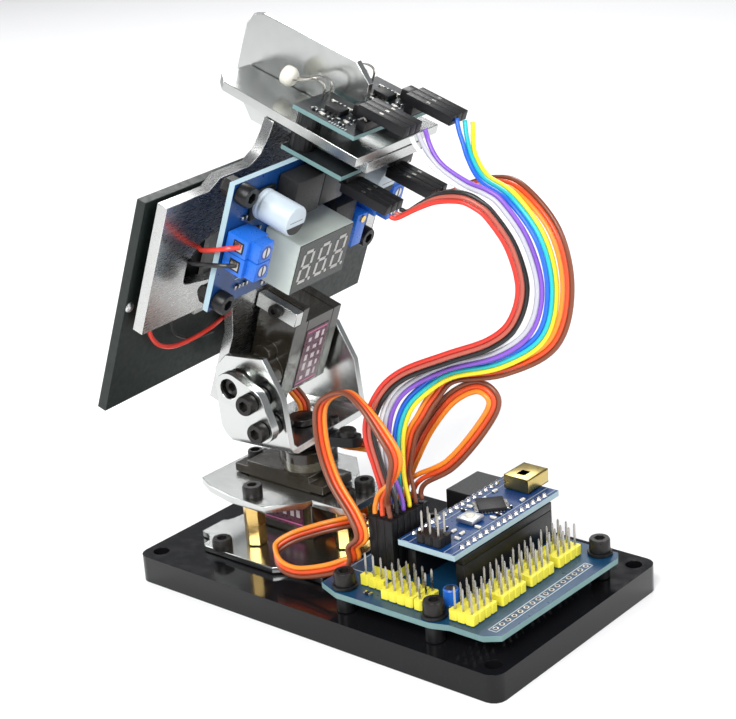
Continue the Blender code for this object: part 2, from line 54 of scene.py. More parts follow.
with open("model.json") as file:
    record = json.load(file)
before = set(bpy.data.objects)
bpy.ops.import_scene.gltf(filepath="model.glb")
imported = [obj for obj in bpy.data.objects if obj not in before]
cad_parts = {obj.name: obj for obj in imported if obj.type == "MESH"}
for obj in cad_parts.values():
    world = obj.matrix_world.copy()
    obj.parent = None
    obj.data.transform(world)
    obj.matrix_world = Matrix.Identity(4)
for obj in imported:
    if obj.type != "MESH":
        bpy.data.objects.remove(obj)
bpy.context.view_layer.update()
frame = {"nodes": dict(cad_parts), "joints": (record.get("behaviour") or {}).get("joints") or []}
joints = {joint["name"]: joint for joint in frame["joints"]}
pan_place = Vector(joints["pan"]["pos_m"])
tilt_place = Vector(joints["tilt"]["pos_m"])
tilt_line = Vector(joints["tilt"]["axis"])
turn = Matrix.Rotation(math.atan2(-tilt_line.x, tilt_line.y), 4, "Z")
BASE = Matrix.Identity(4)
PAN = Matrix.Translation((pan_place.x, pan_place.y, 0)) @ turn
HEAD = (
    Matrix.Translation(tilt_place)
    @ turn
    @ Matrix.Rotation(TILT_REST, 4, "Y")
    @ Matrix.Translation((-MM * HEAD_AXIS[0], 0, -MM * HEAD_AXIS[1]))
)
BODY = {"base": BASE, "reset_key": BASE, "pan_yoke": PAN, "head": HEAD}


# ---------------------------------------------------------------- materials


def surface(name, base, second=None, roughness=(0.3, 0.45), metallic=0.0, scale=300, stretch=(1, 1, 1),
            bump=0.02, coat=0.0, specular=0.5, specks=0.0):
    """A Principled material whose colour, roughness and bump vary with noise in the piece's own space."""
    made = bpy.data.materials.new(name)
    made.use_nodes = True
    nodes, links = made.node_tree.nodes, made.node_tree.links
    shader = nodes["Principled BSDF"]
    shader.inputs["Metallic"].default_value = metallic
    shader.inputs["Coat Weight"].default_value = coat
    shader.inputs["Coat Roughness"].default_value = 0.08
    shader.inputs["Specular IOR Level"].default_value = specular
    where = nodes.new("ShaderNodeTexCoord")
    mapping = nodes.new("ShaderNodeMapping")
    mapping.inputs["Scale"].default_value = stretch
    links.new(where.outputs["Object"], mapping.inputs["Vector"])
    fine = noise(nodes, links, mapping, scale, 6)
    broad = noise(nodes, links, mapping, scale * 0.12, 3)
    mix = nodes.new("ShaderNodeMix")
    mix.data_type = "RGBA"
    mix.inputs["A"].default_value = (*base, 1)
    mix.inputs["B"].default_value = (*(second or [c * 0.75 for c in base]), 1)
    links.new(broad.outputs["Fac"], mix.inputs["Factor"])
    colour = mix.outputs["Result"]
    if specks:
        colour = dusted(nodes, links, mapping, colour, specks)
    links.new(colour, shader.inputs["Base Color"])
    spread = nodes.new("ShaderNodeMapRange")
    spread.inputs["To Min"].default_value, spread.inputs["To Max"].default_value = roughness
    spread.inputs["From Min"].default_value, spread.inputs["From Max"].default_value = 0.3, 0.7
    links.new(fine.outputs["Fac"], spread.inputs["Value"])
    links.new(spread.outputs["Result"], shader.inputs["Roughness"])
    relief = nodes.new("ShaderNodeBump")
    relief.inputs["Strength"].default_value = bump
    relief.inputs["Distance"].default_value = 0.00002
    links.new(fine.outputs["Fac"], relief.inputs["Height"])
    links.new(relief.outputs["Normal"], shader.inputs["Normal"])
    return made


def noise(nodes, links, mapping, scale, detail):
    made = nodes.new("ShaderNodeTexNoise")
    made.inputs["Scale"].default_value = scale
    made.inputs["Detail"].default_value = detail
    links.new(mapping.outputs["Vector"], made.inputs["Vector"])
    return made


def dusted(nodes, links, mapping, colour, amount):
    """Small pale specks of dust over a colour."""
    cells = nodes.new("ShaderNodeTexVoronoi")
    cells.inputs["Scale"].default_value = 900
    links.new(mapping.outputs["Vector"], cells.inputs["Vector"])
    near = nodes.new("ShaderNodeMapRange")
    near.inputs["From Min"].default_value, near.inputs["From Max"].default_value = 0.02, 0.09
    near.inputs["To Min"].default_value, near.inputs["To Max"].default_value = amount, 0.0
    links.new(cells.outputs["Distance"], near.inputs["Value"])
    mix = nodes.new("ShaderNodeMix")
    mix.data_type = "RGBA"
    mix.inputs["B"].default_value = (0.5, 0.5, 0.48, 1)
    links.new(near.outputs["Result"], mix.inputs["Factor"])
    links.new(colour, mix.inputs["A"])
    return mix.outputs["Result"]


def plastic(name, base, low=0.28, high=0.42, **more):
    return surface(name, base, roughness=(low, high), scale=1500, bump=0.12, **more)


def metal(name, base, low=0.18, high=0.32, **more):
    return surface(name, base, [c * 0.9 for c in base], roughness=(low, high), metallic=1.0, **more)


def make_looks():
    looks = {
        "acrylic": surface("gloss_acrylic", (0.004, 0.004, 0.0045), (0.008, 0.008, 0.009), (0.07, 0.16),
                           specular=0.28,
                           specks=0.12),
        "alu": metal("polished_aluminium", (0.60, 0.615, 0.60), 0.20, 0.27, scale=260, stretch=(1, 12, 1),
                     bump=0.008),
        "alu_head": metal("brushed_aluminium", (0.58, 0.585, 0.575), 0.24, 0.32, scale=260,
                          stretch=(12, 1, 12),
                          bump=0.008),
        "brass": metal("turned_brass", (0.80, 0.55, 0.20), 0.15, 0.28, scale=500, stretch=(1, 1, 10),
                       bump=0.006),
        "gold": metal("gilt_shell", (0.60, 0.47, 0.17), 0.26, 0.36, scale=500, bump=0.005),
        "pin": metal("tinned_pin", (0.46, 0.44, 0.40), 0.22, 0.36, scale=2500),
        "solder": metal("solder", (0.62, 0.62, 0.62), 0.2, 0.4, scale=2500, bump=0.2),
        "can": metal("can", (0.62, 0.64, 0.66), 0.34, 0.46, scale=900),
        "can_sleeve": plastic("can_sleeve", (0.52, 0.60, 0.66), 0.3, 0.4),
        "steel": surface("black_oxide_steel", (0.014, 0.013, 0.013), (0.03, 0.028, 0.026), (0.25, 0.42),
                         scale=2200,
                         bump=0.15, metallic=0.4, specular=0.35),
        "smoke": surface("smoky_nylon", (0.016, 0.013, 0.009), (0.036, 0.030, 0.021), (0.14, 0.26),
                         scale=900,
                         coat=0.3, bump=0.06),
        "boss": surface("smoky_boss", (0.075, 0.070, 0.050), (0.12, 0.11, 0.08), (0.2, 0.3), scale=900,
                        coat=0.2),
        "blue_mask": surface("blue_solder_mask", (0.006, 0.055, 0.20), (0.004, 0.030, 0.12), (0.26, 0.4),
                             scale=900,
                             coat=0.1, bump=0.03, specular=0.35),
        "teal_mask": surface("teal_solder_mask", (0.010, 0.070, 0.125), (0.004, 0.030, 0.095), (0.26, 0.4),
                             scale=500,
                             coat=0.1, bump=0.03, specular=0.35),
        "black_mask": surface("black_solder_mask", (0.007, 0.010, 0.012), (0.012, 0.015, 0.017),
                              (0.28, 0.42),
                              scale=1200, specular=0.35),
        "edge": surface("board_edge", (0.16, 0.27, 0.27), (0.10, 0.19, 0.19), (0.45, 0.6), scale=2500,
                        bump=0.2),
        "pale_edge": surface("pale_board_edge", (0.36, 0.48, 0.53), (0.27, 0.38, 0.43), (0.45, 0.6),
                             scale=2500,
                             bump=0.2),
        "silk": plastic("silkscreen", (0.50, 0.58, 0.60), 0.5, 0.6),
        # painted shade: a darker copy of the blue plastic, for the shade down in a terminal's screw recess
        "recess_shade_blue": plastic("painted_recess_shade_blue", (0.006, 0.05, 0.30), 0.35, 0.5),
        "black": plastic("black_plastic", (0.008, 0.008, 0.009), specular=0.3),
        "housing": plastic("plug_housing", (0.007, 0.007, 0.008), 0.35, 0.5, specular=0.3),
        "chip": plastic("chip_resin", (0.012, 0.012, 0.013), 0.42, 0.55, specular=0.3),
        "yellow": plastic("yellow_plastic", (0.86, 0.76, 0.03), 0.32, 0.45, second=(0.78, 0.72, 0.10)),
        "blue": plastic("blue_plastic", (0.015, 0.15, 0.62), 0.25, 0.38, second=(0.01, 0.10, 0.48)),
        "shell": plastic("display_shell", (0.56, 0.62, 0.58), 0.3, 0.4),
        "face": plastic("display_face", (0.020, 0.026, 0.022), 0.2, 0.3),
        "segment": plastic("display_segment", (0.50, 0.50, 0.48), 0.35, 0.45),
        "label": plastic("label_film", (0.10, 0.012, 0.045), 0.25, 0.35),
        "label_line": plastic("label_line", (0.72, 0.16, 0.40), 0.3, 0.4),
        "label_white": plastic("label_white", (0.75, 0.66, 0.70), 0.3, 0.4),
        "ceramic": plastic("ceramic", (0.72, 0.70, 0.62), 0.35, 0.5),
        "foam": surface("foam_tape", (0.42, 0.42, 0.40), (0.3, 0.3, 0.29), (0.7, 0.9), scale=1800,
                        bump=0.6),
        "panel_back": surface("panel_back", (0.0022, 0.0065, 0.0055), (0.0035, 0.010, 0.008), (0.42, 0.58),
                              scale=700,
                              bump=0.05),
        "cell": surface("solar_cell", (0.008, 0.012, 0.035), (0.014, 0.02, 0.06), (0.1, 0.2), scale=300,
                        coat=0.8),
    }
    wires = {
        "red": (0.62, 0.035, 0.02), "rose": (0.45, 0.10, 0.07), "jet": (0.012, 0.012, 0.012),
        "milk": (0.78, 0.78, 0.80), "grey": (0.48, 0.48, 0.54), "purple": (0.22, 0.09, 0.52),
        "azure": (0.015, 0.13, 0.70), "cyan": (0.02, 0.50, 0.52), "lemon": (0.88, 0.74, 0.03),
        "orange": (0.88, 0.25, 0.02), "scarlet": (0.68, 0.07, 0.015), "brown": (0.20, 0.055, 0.025),
    }
    for name, colour in wires.items():
        looks[name] = plastic(f"wire_{name}", colour, 0.28, 0.4, second=[c * 0.85 for c in colour])
    return looks


LOOK = make_looks()


# ---------------------------------------------------------------- shapes


def circle(centre, radius, sides, turn_deg=0.0):
    start = math.radians(turn_deg)
    angles = [start + 2 * math.pi * i / sides for i in range(sides)]
    return [(centre[0] + radius * math.cos(a), centre[1] + radius * math.sin(a)) for a in angles]


def rectangle(low, high):
    return [(low[0], low[1]), (high[0], low[1]), (high[0], high[1]), (low[0], high[1])]


def axis_order(axis):
    return {
        "x": lambda a, b, t: (t, a, b),
        "y": lambda a, b, t: (a, t, b),
        "z": lambda a, b, t: (a, b, t),
    }[axis]


def hexed(angle):
    """How far a hexagon's side lies from its middle at this angle, against its flats."""
    sixth = math.pi / 3
    return 1 / math.cos((angle + sixth / 2) % sixth - sixth / 2)


class Piece:
    """Gathers shapes of several materials into one mesh object that rides on one body."""

    def __init__(self, name, body):
        self.name, self.body = name, body
        self.bm = bmesh.new()
        self.looks = []

    def take(self, bm, look, matrix=None):
        if look not in self.looks:
            self.looks.append(look)
        bm.normal_update()
        for face in bm.faces:
            face.material_index = self.looks.index(look)
        if matrix is not None:
            bmesh.ops.transform(bm, matrix=matrix, verts=bm.verts)
        mesh = bpy.data.meshes.new("part")
        bm.to_mesh(mesh)
        bm.free()
        self.bm.from_mesh(mesh)
        bpy.data.meshes.remove(mesh)

    def prism(self, outline, low, high, look, axis="z", bevel=0.0, matrix=None):
        order = axis_order(axis)
        bm = bmesh.new()
        rings = [[bm.verts.new([MM * v for v in order(a, b, t)]) for a, b in outline] for t in (low, high)]
        for ring in rings:
            bm.faces.new(ring)
        count = len(outline)
        for i in range(count):
            after = (i + 1) % count
            bm.faces.new((rings[0][i], rings[0][after], rings[1][after], rings[1][i]))
        bmesh.ops.recalc_face_normals(bm, faces=bm.faces)
        if bevel:
            sharp = [e for e in bm.edges if e.calc_face_angle(0) > 0.6]
            bmesh.ops.bevel(bm, geom=sharp, offset=MM * bevel, segments=2, affect="EDGES", profile=0.5,
                            clamp_overlap=True)
        self.take(bm, look, matrix)

    def box(self, low, high, look, bevel=0.12, **more):
        self.prism(rectangle(low[:2], high[:2]), low[2], high[2], look, bevel=bevel, **more)

    def turned(self, centre, profile, look, axis="z", sides=28, matrix=None):
        """A solid of revolution. A profile step is (radius, place along the axis, shape of its ring)."""
        order = axis_order(axis)
        bm = bmesh.new()
        rings = []
        for radius, t, *shape in profile:
            ring = []
            for i in range(sides):
                angle = 2 * math.pi * i / sides
                size = radius
                if shape == ["hex"]:
                    size *= hexed(angle)
                if shape == ["knurl"]:
                    size *= 1.0 if i % 2 else 0.965
                place = (centre[0] + size * math.cos(angle), centre[1] + size * math.sin(angle))
                ring.append(bm.verts.new([MM * v for v in order(*place, t)]))
            rings.append(ring)
        for lower, upper in zip(rings, rings[1:]):
            for i in range(sides):
                after = (i + 1) % sides
                bm.faces.new((lower[i], lower[after], upper[after], upper[i]))
        bm.faces.new(rings[0])
        bm.faces.new(rings[-1])
        bmesh.ops.recalc_face_normals(bm, faces=bm.faces)
        self.take(bm, look, matrix)

    def cap_screw(self, centre, base, height, radius, look="steel", axis="z", socket=1.3, knurl=True):
        """A socket head cap screw whose head stands on base and reaches base + height."""
        up = math.copysign(1, height)
        side = "knurl" if knurl else "round"
        top = base + height
        profile = [(radius * 0.97, base), (radius, base + 0.15 * up, side), (radius, top - 0.45 * up, side)]
        profile += [(radius * 0.9, top), (socket, top, "hex"),
                    (socket, top - min(1.6, abs(height) * 0.6) * up, "hex")]
        self.turned(centre, profile, look, axis, sides=48)

    def pin(self, at, low, high, look="pin", wide=0.5, axis="z"):
        """A square header pin with a tapered tip."""
        half, tip = wide / 2, 0.5 * math.copysign(1, high - low)
        square = [(half, low), (half, high - tip), (half * 0.45, high)]
        profile = [(r * math.sqrt(2), t) for r, t in square]
        self.turned(at, profile, look, axis, sides=4)

    def tube(self, points, radius, look, sides=10, span=None):
        """A round rod along the points, or along one span of them."""
        self.take(tube_mesh([Vector(p) * MM for p in points], radius * MM, sides, span), look)

    def done(self, *nodes, slot=None):
        mesh = bpy.data.meshes.new(self.name)
        self.bm.to_mesh(mesh)
        self.bm.free()
        for look in self.looks:
            mesh.materials.append(LOOK[look])
        mesh.shade_smooth()
        mesh.set_sharp_from_angle(angle=SHARP_ANGLE)
        obj = bpy.data.objects.new(self.name, mesh)
        bpy.context.collection.objects.link(obj)
        obj.matrix_world = BODY[self.body]
        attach(obj, self.body)
        if nodes:
            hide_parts(*nodes)
        return obj


def tube_mesh(route, radius, sides, span=None):
    """A round rod along the route, or only along one span of it, which is open where it meets the rest."""
    first, last = span or (0, len(route) - 1)
    bm = bmesh.new()
    side = None
    rings = []
    for i, here in enumerate(route):
        ahead = (route[min(i + 1, len(route) - 1)] - route[max(i - 1, 0)]).normalized()
        if side is None:
            side = ahead.orthogonal().normalized()
        side = (side - ahead * side.dot(ahead)).normalized()
        up = ahead.cross(side)
        angles = [2 * math.pi * k / sides for k in range(sides)]
        if first <= i <= last:
            rings.append([bm.verts.new(here + radius * (side * math.cos(a) + up * math.sin(a))) for a in angles])
    for lower, upper in zip(rings, rings[1:]):
        for k in range(sides):
            after = (k + 1) % sides
            bm.faces.new((lower[k], lower[after], upper[after], upper[k]))
    if first == 0:
        bm.faces.new(rings[0])
    if last == len(route) - 1:
        bm.faces.new(rings[-1])
    bmesh.ops.recalc_face_normals(bm, faces=bm.faces)
    return bm


def refined(node, body, look, width=0.15):
    """A CAD node's own shape with its edges eased, in place of that node."""
    bm = bmesh.new()
    bm.from_mesh(frame["nodes"][node].data)
    bmesh.ops.remove_doubles(bm, verts=bm.verts, dist=1e-6)
    bmesh.ops.dissolve_limit(bm, angle_limit=math.radians(1), verts=bm.verts, edges=bm.edges)
    mesh = bpy.data.meshes.new(node)
    bm.to_mesh(mesh)
    bm.free()
    mesh.materials.append(LOOK[look])
    obj = bpy.data.objects.new(f"{node}_eased", mesh)
    bpy.context.collection.objects.link(obj)
    eased = obj.modifiers.new("Eased edges", "BEVEL")
    eased.width = MM * width
    eased.segments = 2
    eased.limit_method = "ANGLE"
    eased.angle_limit = math.radians(40)
    mesh.shade_smooth()
    mesh.set_sharp_from_angle(angle=SHARP_ANGLE)
    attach(obj, body)
    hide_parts(node)
    return obj


# ---------------------------------------------------------------- leads

SENSOR_LEAD_1 = (
    (22.3, -6.0, 128.0), (23.6, -5.5, 124.5), (27.5, -5.0, 120.0), (34.5, -4.5, 116.5), (40.0, -4.0, 115.0),
    (44.0, -3.5, 112.5), (50.0, -2.5, 104.0), (53.5, -3.0, 93.0), (51.5, -5.0, 83.0), (43.5, -7.5, 76.5),
    (31.0, -10.5, 72.0), (21.5, -13.0, 66.5), (16.5, -14.5, 61.0), (13.5, -14.5, 53.0), (13.5, -14.5, 43.5),
    (14.5, -14.1, 36.0), (14.5, -14.1, 31.5),
)
SENSOR_LEAD_2 = (
    (23.6, 10.6, 127.4), (25.5, 8.6, 123.5), (28.5, 6.0, 119.5), (33.5, 3.5, 115.5), (44.0, -0.5, 113.0),
    (52.5, -1.5, 104.5), (55.5, -2.0, 93.0), (53.5, -4.0, 82.0), (43.0, -6.0, 74.5), (29.5, -8.0, 70.0),
    (22.0, -10.5, 64.5), (17.5, -12.0, 59.0), (14.5, -12.0, 51.0), (14.0, -11.5, 42.0), (14.5, -11.6, 36.0),
    (14.5, -11.6, 31.5),
)
SENSOR_LEAD_3 = (
    (17.0, -9.9, 108.6), (19.0, -9.5, 108.4), (23.5, -8.5, 111.0), (29.0, -7.5, 114.0), (35.0, -6.5, 115.0),
    (39.5, -5.5, 113.5), (43.0, -4.5, 110.5), (48.0, -3.5, 103.0), (51.0, -4.0, 93.0), (49.0, -6.0, 84.0),
    (43.5, -9.0, 78.5), (33.0, -13.0, 74.0), (21.5, -15.5, 68.5), (15.5, -17.0, 62.5), (11.5, -17.0, 53.5),
    (13.0, -17.0, 44.0), (14.5, -16.7, 36.0), (14.5, -16.7, 31.5),
)
SENSOR_LEAD_4 = (
    (16.6, 8.2, 108.4), (19.0, 9.0, 109.0), (24.5, 9.0, 111.5), (33.0, 7.0, 113.5), (44.0, 2.5, 114.0),
    (55.0, 0.0, 106.0), (58.5, -1.0, 93.0), (55.5, -3.0, 80.5), (42.5, -4.5, 72.5), (27.5, -5.5, 68.0),
    (22.5, -8.0, 62.0), (19.5, -9.5, 56.5), (16.0, -9.5, 50.5), (14.0, -9.0, 40.5), (14.5, -9.1, 36.0),
    (14.5, -9.1, 31.5),
)
PAN_SERVO_LEAD = (
    (-21.8, 0.0, 12.0), (-17.0, 0.0, 12.5), (-12.0, 0.0, 14.0), (-7.5, -1.5, 17.0), (-6.0, -5.5, 19.5),
    (-8.5, -10.0, 19.6), (-12.4, -14.0, 18.8), (-17.1, -20.0, 17.4), (-19.3, -24.0, 15.0),
    (-14.5, -27.5, 13.2),
    (-9.0, -27.0, 12.4), (-1.2, -25.2, 14.4), (4.0, -23.0, 16.6), (7.0, -22.8, 19.0), (7.4, -23.4, 22.4),
    (10.4, -23.2, 26.0), (7.8, -22.4, 31.0), (0.5, -21.0, 38.5), (-4.0, -19.5, 48.0), (-4.0, -18.5, 57.5),
    (3.8, -18.5, 62.5), (10.5, -19.8, 61.0), (17.5, -21.0, 55.5), (21.8, -21.5, 49.5), (19.2, -20.8, 42.0),
    (15.2, -19.4, 36.5), (14.5, -19.2, 33.6), (14.5, -19.2, 31.5),
)
TILT_SERVO_LEAD = (
    (-36.9, 4.3, 51.4), (-36.4, 5.0, 48.0), (-34.6, 7.2, 43.0), (-34.2, 7.6, 38.5), (-30.5, 9.4, 35.2),
    (-22.5, 9.0, 33.2), (-10.0, 8.0, 34.5), (-3.5, 6.5, 32.0), (1.5, 3.5, 29.8), (6.4, 0.2, 32.6),
    (11.0, -2.5, 39.0), (18.0, -3.5, 50.5), (26.5, -4.0, 60.5), (35.0, -4.0, 65.3), (39.7, -4.0, 62.2),
    (35.0, -4.0, 53.8), (25.5, -4.6, 42.6), (17.0, -6.0, 37.0), (14.6, -6.5, 33.6), (14.6, -6.5, 31.5),
)
LOOP_FACE = Vector((0.62, -0.70, 0.35)).normalized()
ALONG_X = Vector((1, 0, 0))
ALONG_Y = Vector((0, 1, 0))


def smooth_route(points, steps=ROUTE_STEPS):
    """Points on a Catmull-Rom curve through the route's own points."""
    route = [Vector(p) for p in points]
    route = [2 * route[0] - route[1], *route, 2 * route[-1] - route[-2]]
    made = []
    for i in range(1, len(route) - 2):
        a, b, c, d = route[i - 1 : i + 3]
        for step in range(steps):
            t = step / steps
            bend = (2 * a - 5 * b + 4 * c - d) * t * t + (3 * b - a - 3 * c + d) * t**3
            made.append((2 * b + (c - a) * t + bend) / 2)
    return [*made, route[-2]]


def distances(route):
    found = [0.0]
    for before, here in zip(route, route[1:]):
        found.append(found[-1] + (here - before).length)
    return found


def faced(here, ahead):
    """Across a ribbon whose broad face stays towards LOOP_FACE."""
    return LOOP_FACE.cross(ahead)


def twisting(here, ahead):
    """Across the lower servo's ribbon: on its edge in the low bend, and turning over at the top of its loop."""
    climb = min(1.0, max(0.0, (here.z - 14) / 6)) if here.x > 0 or here.z > 24 else 0.0
    upright = abs(ahead.z)
    turned = Vector((-0.75, -0.66, 0)) * upright + LOOP_FACE * (1 - upright) * 0.9
    return Vector((0, 0, -1)) * (1 - climb) + turned * climb


def widths_along(route, first, last, guide=faced):
    """The direction across a flat ribbon at each point: the guide's, except near its two ends."""
    along = distances(route)
    raw = []
    for i, here in enumerate(route):
        ahead = (route[min(i + 1, len(route) - 1)] - route[max(i - 1, 0)]).normalized()
        across = guide(here, ahead)
        near_first = max(0.0, 1 - along[i] / 16)
        near_last = max(0.0, 1 - (along[-1] - along[i]) / 16)
        raw.append(across * (1 - near_first) * (1 - near_last) + first * near_first * 2 + last * near_last * 2)
    smooth = []
    for i, here in enumerate(route):
        ahead = (route[min(i + 1, len(route) - 1)] - route[max(i - 1, 0)]).normalized()
        near = sum(raw[max(0, i - 10) : i + 11], Vector())
        smooth.append((near - ahead * near.dot(ahead)).normalized())
    return smooth


def ribbon(route, colours, first, last, pitch, ends=(PITCH, PITCH), guide=faced, shift=0.0):
    """The routes of the wires of one flat lead: they lie side by side, and fan out to a plug's own pitch."""
    across = widths_along(route, first, last, guide)
    along = distances(route)
    wires = []
    for k, colour in enumerate(colours):
        place = k - (len(colours) - 1) / 2
        points = []
        for i, here in enumerate(route):
            fan_first = math.exp(-((along[i] / 5) ** 2)) * (ends[0] - pitch)
            fan_last = math.exp(-(((along[-1] - along[i]) / 5) ** 2)) * (ends[1] - pitch)
            free = (1 - math.exp(-((along[i] / 14) ** 2))) * (1 - math.exp(-(((along[-1] - along[i]) / 14) ** 2)))
            points.append(here + across[i] * (place * (pitch + fan_first + fan_last) + shift * free))
        wires.append((colour, points))
    return wires


def lead_piece(name, wires, first, last, wire):
    """Part of a lead, from one point of its route to another, as one mesh of several wires."""
    piece = Piece(name, "base")
    for colour, points in wires:
        piece.tube(points, wire / 2, colour, span=(first, last))
    mesh = bpy.data.meshes.new(name)
    piece.bm.to_mesh(mesh)
    piece.bm.free()
    for look in piece.looks:
        mesh.materials.append(LOOK[look])
    mesh.shade_smooth()
    obj = bpy.data.objects.new(name, mesh)
    bpy.context.collection.objects.link(obj)
    return obj


def bending(obj):
    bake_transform(obj)


def leads():
    colours = {
        1: ("milk", "grey", "purple"),
        2: ("azure", "cyan", "lemon"),
        3: ("red", "rose", "jet"),
        4: ("orange", "scarlet", "brown"),
    }
    routes = {1: SENSOR_LEAD_1, 2: SENSOR_LEAD_2, 3: SENSOR_LEAD_3, 4: SENSOR_LEAD_4}
    shifts = {1: -0.35, 2: 0.9, 3: -1.2, 4: 1.4}
    for number, points in routes.items():
        route = smooth_route(points)
        wires = ribbon(route, colours[number], ALONG_Y, ALONG_X, 1.14, shift=shifts[number])
        middle = min(range(len(route)), key=lambda i: (route[i] - Vector((55, -2, 93))).length)
        upper = lead_piece(f"sensor_lead_{number}_upper", wires, 0, middle, WIRE + 0.16)
        lower = lead_piece(f"sensor_lead_{number}_lower", wires, middle, len(route) - 1, WIRE + 0.16)
        bending(upper)
        bending(lower)
        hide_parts(f"sensor_lead_{number}")
        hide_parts(f"sensor_lead_{number}")
    servo = ("orange", "scarlet", "brown")
    route = smooth_route(PAN_SERVO_LEAD)
    wires = ribbon(route, servo, ALONG_Y, ALONG_X, RIBBON_WIRE, (RIBBON_WIRE, PITCH), twisting)
    whole = lead_piece("pan_servo_ribbon", wires, 0, len(route) - 1, RIBBON_WIRE + 0.05)
    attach(whole, "base")
    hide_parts("pan_servo_lead")
    route = smooth_route(TILT_SERVO_LEAD)
    wires = ribbon(route, servo, ALONG_Y, ALONG_X, RIBBON_WIRE, (RIBBON_WIRE, PITCH))
    split = 3 * ROUTE_STEPS
    upper = lead_piece("tilt_servo_ribbon_upper", wires, 0, split, RIBBON_WIRE + 0.05)
    lower = lead_piece("tilt_servo_ribbon_lower", wires, split, len(route) - 1, RIBBON_WIRE + 0.05)
    bending(upper)
    bending(lower)
    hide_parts("tilt_servo_lead")
    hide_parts("tilt_servo_lead")


# ---------------------------------------------------------------- base


def plates():
    refined("base_slab", "base", "acrylic", 0.35)
    refined("lower_deck", "base", "alu", 0.12)
    refined("upper_plate", "base", "alu", 0.12)
    for number in range(1, 5):
        refined(f"standoff_{number}", "base", "brass", 0.2)
    screws = Piece("plate_screws", "base")
    for x, y in ((-35.1, -15), (-11, -4.3), (-11.2, 3.9), (-34.5, 15.7)):
        screws.cap_screw((x, y), 23.6, 3.0, 2.75)
    for y in (-23.1, 23.1):
        screws.cap_screw((-40.4, y), 9.6, 3.0, 2.75)
    for x in (-47.6, -19.8):
        screws.cap_screw((x, 0), 26.4, 2.2, 2.2)
    screws.done(slot="black_steel")


def pan_servo():
    refined("pan_servo", "base", "smoke", 0.4)
    trim = Piece("pan_servo_trim", "base")
    low, high = (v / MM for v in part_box("pan_servo"))
    trim.box((-42.5, low.y - 0.05, 12.0), (-25.5, low.y + 0.3, 20.5), "label", 0)
    for z in (12.8, 19.4):
        trim.box((-42.0, low.y - 0.08, z), (-26.0, low.y, z + 0.35), "label_line", 0)
    for x in (-41, -38.5, -36.5, -33, -30.2, -28):
        trim.box((x, low.y - 0.08, 15.0), (x + 1.3, low.y, 17.2), "label_white", 0)
    trim.turned((-28.5, 0), [(5.95, 28.25), (5.95, 30.6), (5.7, 30.9)], "boss", sides=40)
    trim.done(slot="smoky_nylon")


def shield():
    board = refined("shield_board", "base", "teal_mask", 0.08)
    edge_look(board, "edge")
    posts = ((9.0, -29.2), (37.6, -29.2), (53, 20.6), (9, 8))
    for number, at in enumerate(posts, 1):
        post = Piece(f"shield_post_{number}_turned", "base")
        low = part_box(f"shield_post_{number}")[0].z / MM
        post.turned(at, [(2.5, low), (2.5, 12.45)], "black", sides=32)
        post.turned(at, [(1.4, 12.4), (1.4, 15)], "steel", sides=16)
        post.turned(at, [(3.1, 14.35), (3.3, 14.5), (3.3, 15.1), (3.1, 15.25)], "black", sides=32)
        post.cap_screw(at, 15.3, 3.5, 2.75)
        post.done(f"shield_post_{number}", slot="black_steel")
    silk_boxes()
    shield_parts()


def edge_look(obj, look):
    """The sides of a board show its bare glass epoxy, and its two faces the solder mask."""
    obj.data.materials.append(LOOK[look])
    biggest = max(obj.data.polygons, key=lambda p: p.area).normal.copy()
    for poly in obj.data.polygons:
        if abs(poly.normal.dot(biggest)) < 0.7:
            poly.material_index = 1


def outline_box(piece, low, high, z, line=0.22):
    """A thin printed rectangle on a board."""
    x0, y0, x1, y1 = *low, *high
    for a, b in (((x0, y0), (x1, y0 + line)), ((x0, y1 - line), (x1, y1)), ((x0, y0), (x0 + line, y1)),
                 ((x1 - line, y0), (x1, y1))):
        piece.prism(rectangle(a, b), z, z + 0.05, "silk")


def silk_boxes():
    silk = Piece("shield_markings", "base")
    for first in (-27.6, -6.6):
        last = first + 20.8
        outline_box(silk, (52.6, first), (55.2, last), 14.2)
        for step in range(8):
            at = (53.9, first + 1.5 + PITCH * step)
            silk.turned(at, [(0.75, 14.2), (0.75, 14.3)], "pin", sides=16)
            silk.turned(at, [(0.42, 14.3), (0.42, 14.34)], "black", sides=12)
    for y in (-18.0, -5.8, 6.4):
        outline_box(silk, (40.2, y - 2.6), (41.2, y + 2.6), 14.2)
    outline_box(silk, (2.8, -20.6), (9.6, -4.8), 14.2)
    outline_box(silk, (3.2, 12.0), (8.6, 22.6), 14.2)
    silk.done(slot="blue_board")


def shield_parts():
    """Small surface parts and the solder tails below the shield."""
    parts = Piece("shield_small_parts", "base")
    for x, y in ((16.6, -29.2), (39.3, -24.0), (39.3, -12.5), (39.3, -1.2), (39.3, 10.0), (5.5, -2.0),
                 (5.5, 14.5)):
        parts.box((x - 1.0, y - 0.6, 14.25), (x + 1.0, y + 0.6, 14.85), "chip", 0.08)
        for side in (-1, 1):
            parts.box((x + side * 0.85 - 0.3, y - 0.62, 14.22), (x + side * 0.85 + 0.3, y + 0.62, 14.9),
                      "solder", 0.08)
    parts.turned((37.6, -22.2), [(2.0, 14.3), (2.0, 18.6), (1.8, 18.9)], "blue", sides=28)
    parts.turned((37.6, -22.2), [(1.6, 18.9), (1.6, 18.95)], "can", sides=28)
    for row in range(3):
        for column in header_columns():
            parts.turned((42.9 + PITCH * row, column), [(0.3, 11.0), (0.45, 12.3), (0.8, 12.55)], "solder",
                         sides=8)
    parts.done(slot="black_plastic")


HEADER_SPAN = (14.45, 17.0, 23.1)


def header_columns():
    """The places of four groups of four columns, which stand a little apart."""
    return [-27.53 + group * 12.21 + column * PITCH for group in range(4) for column in range(4)]


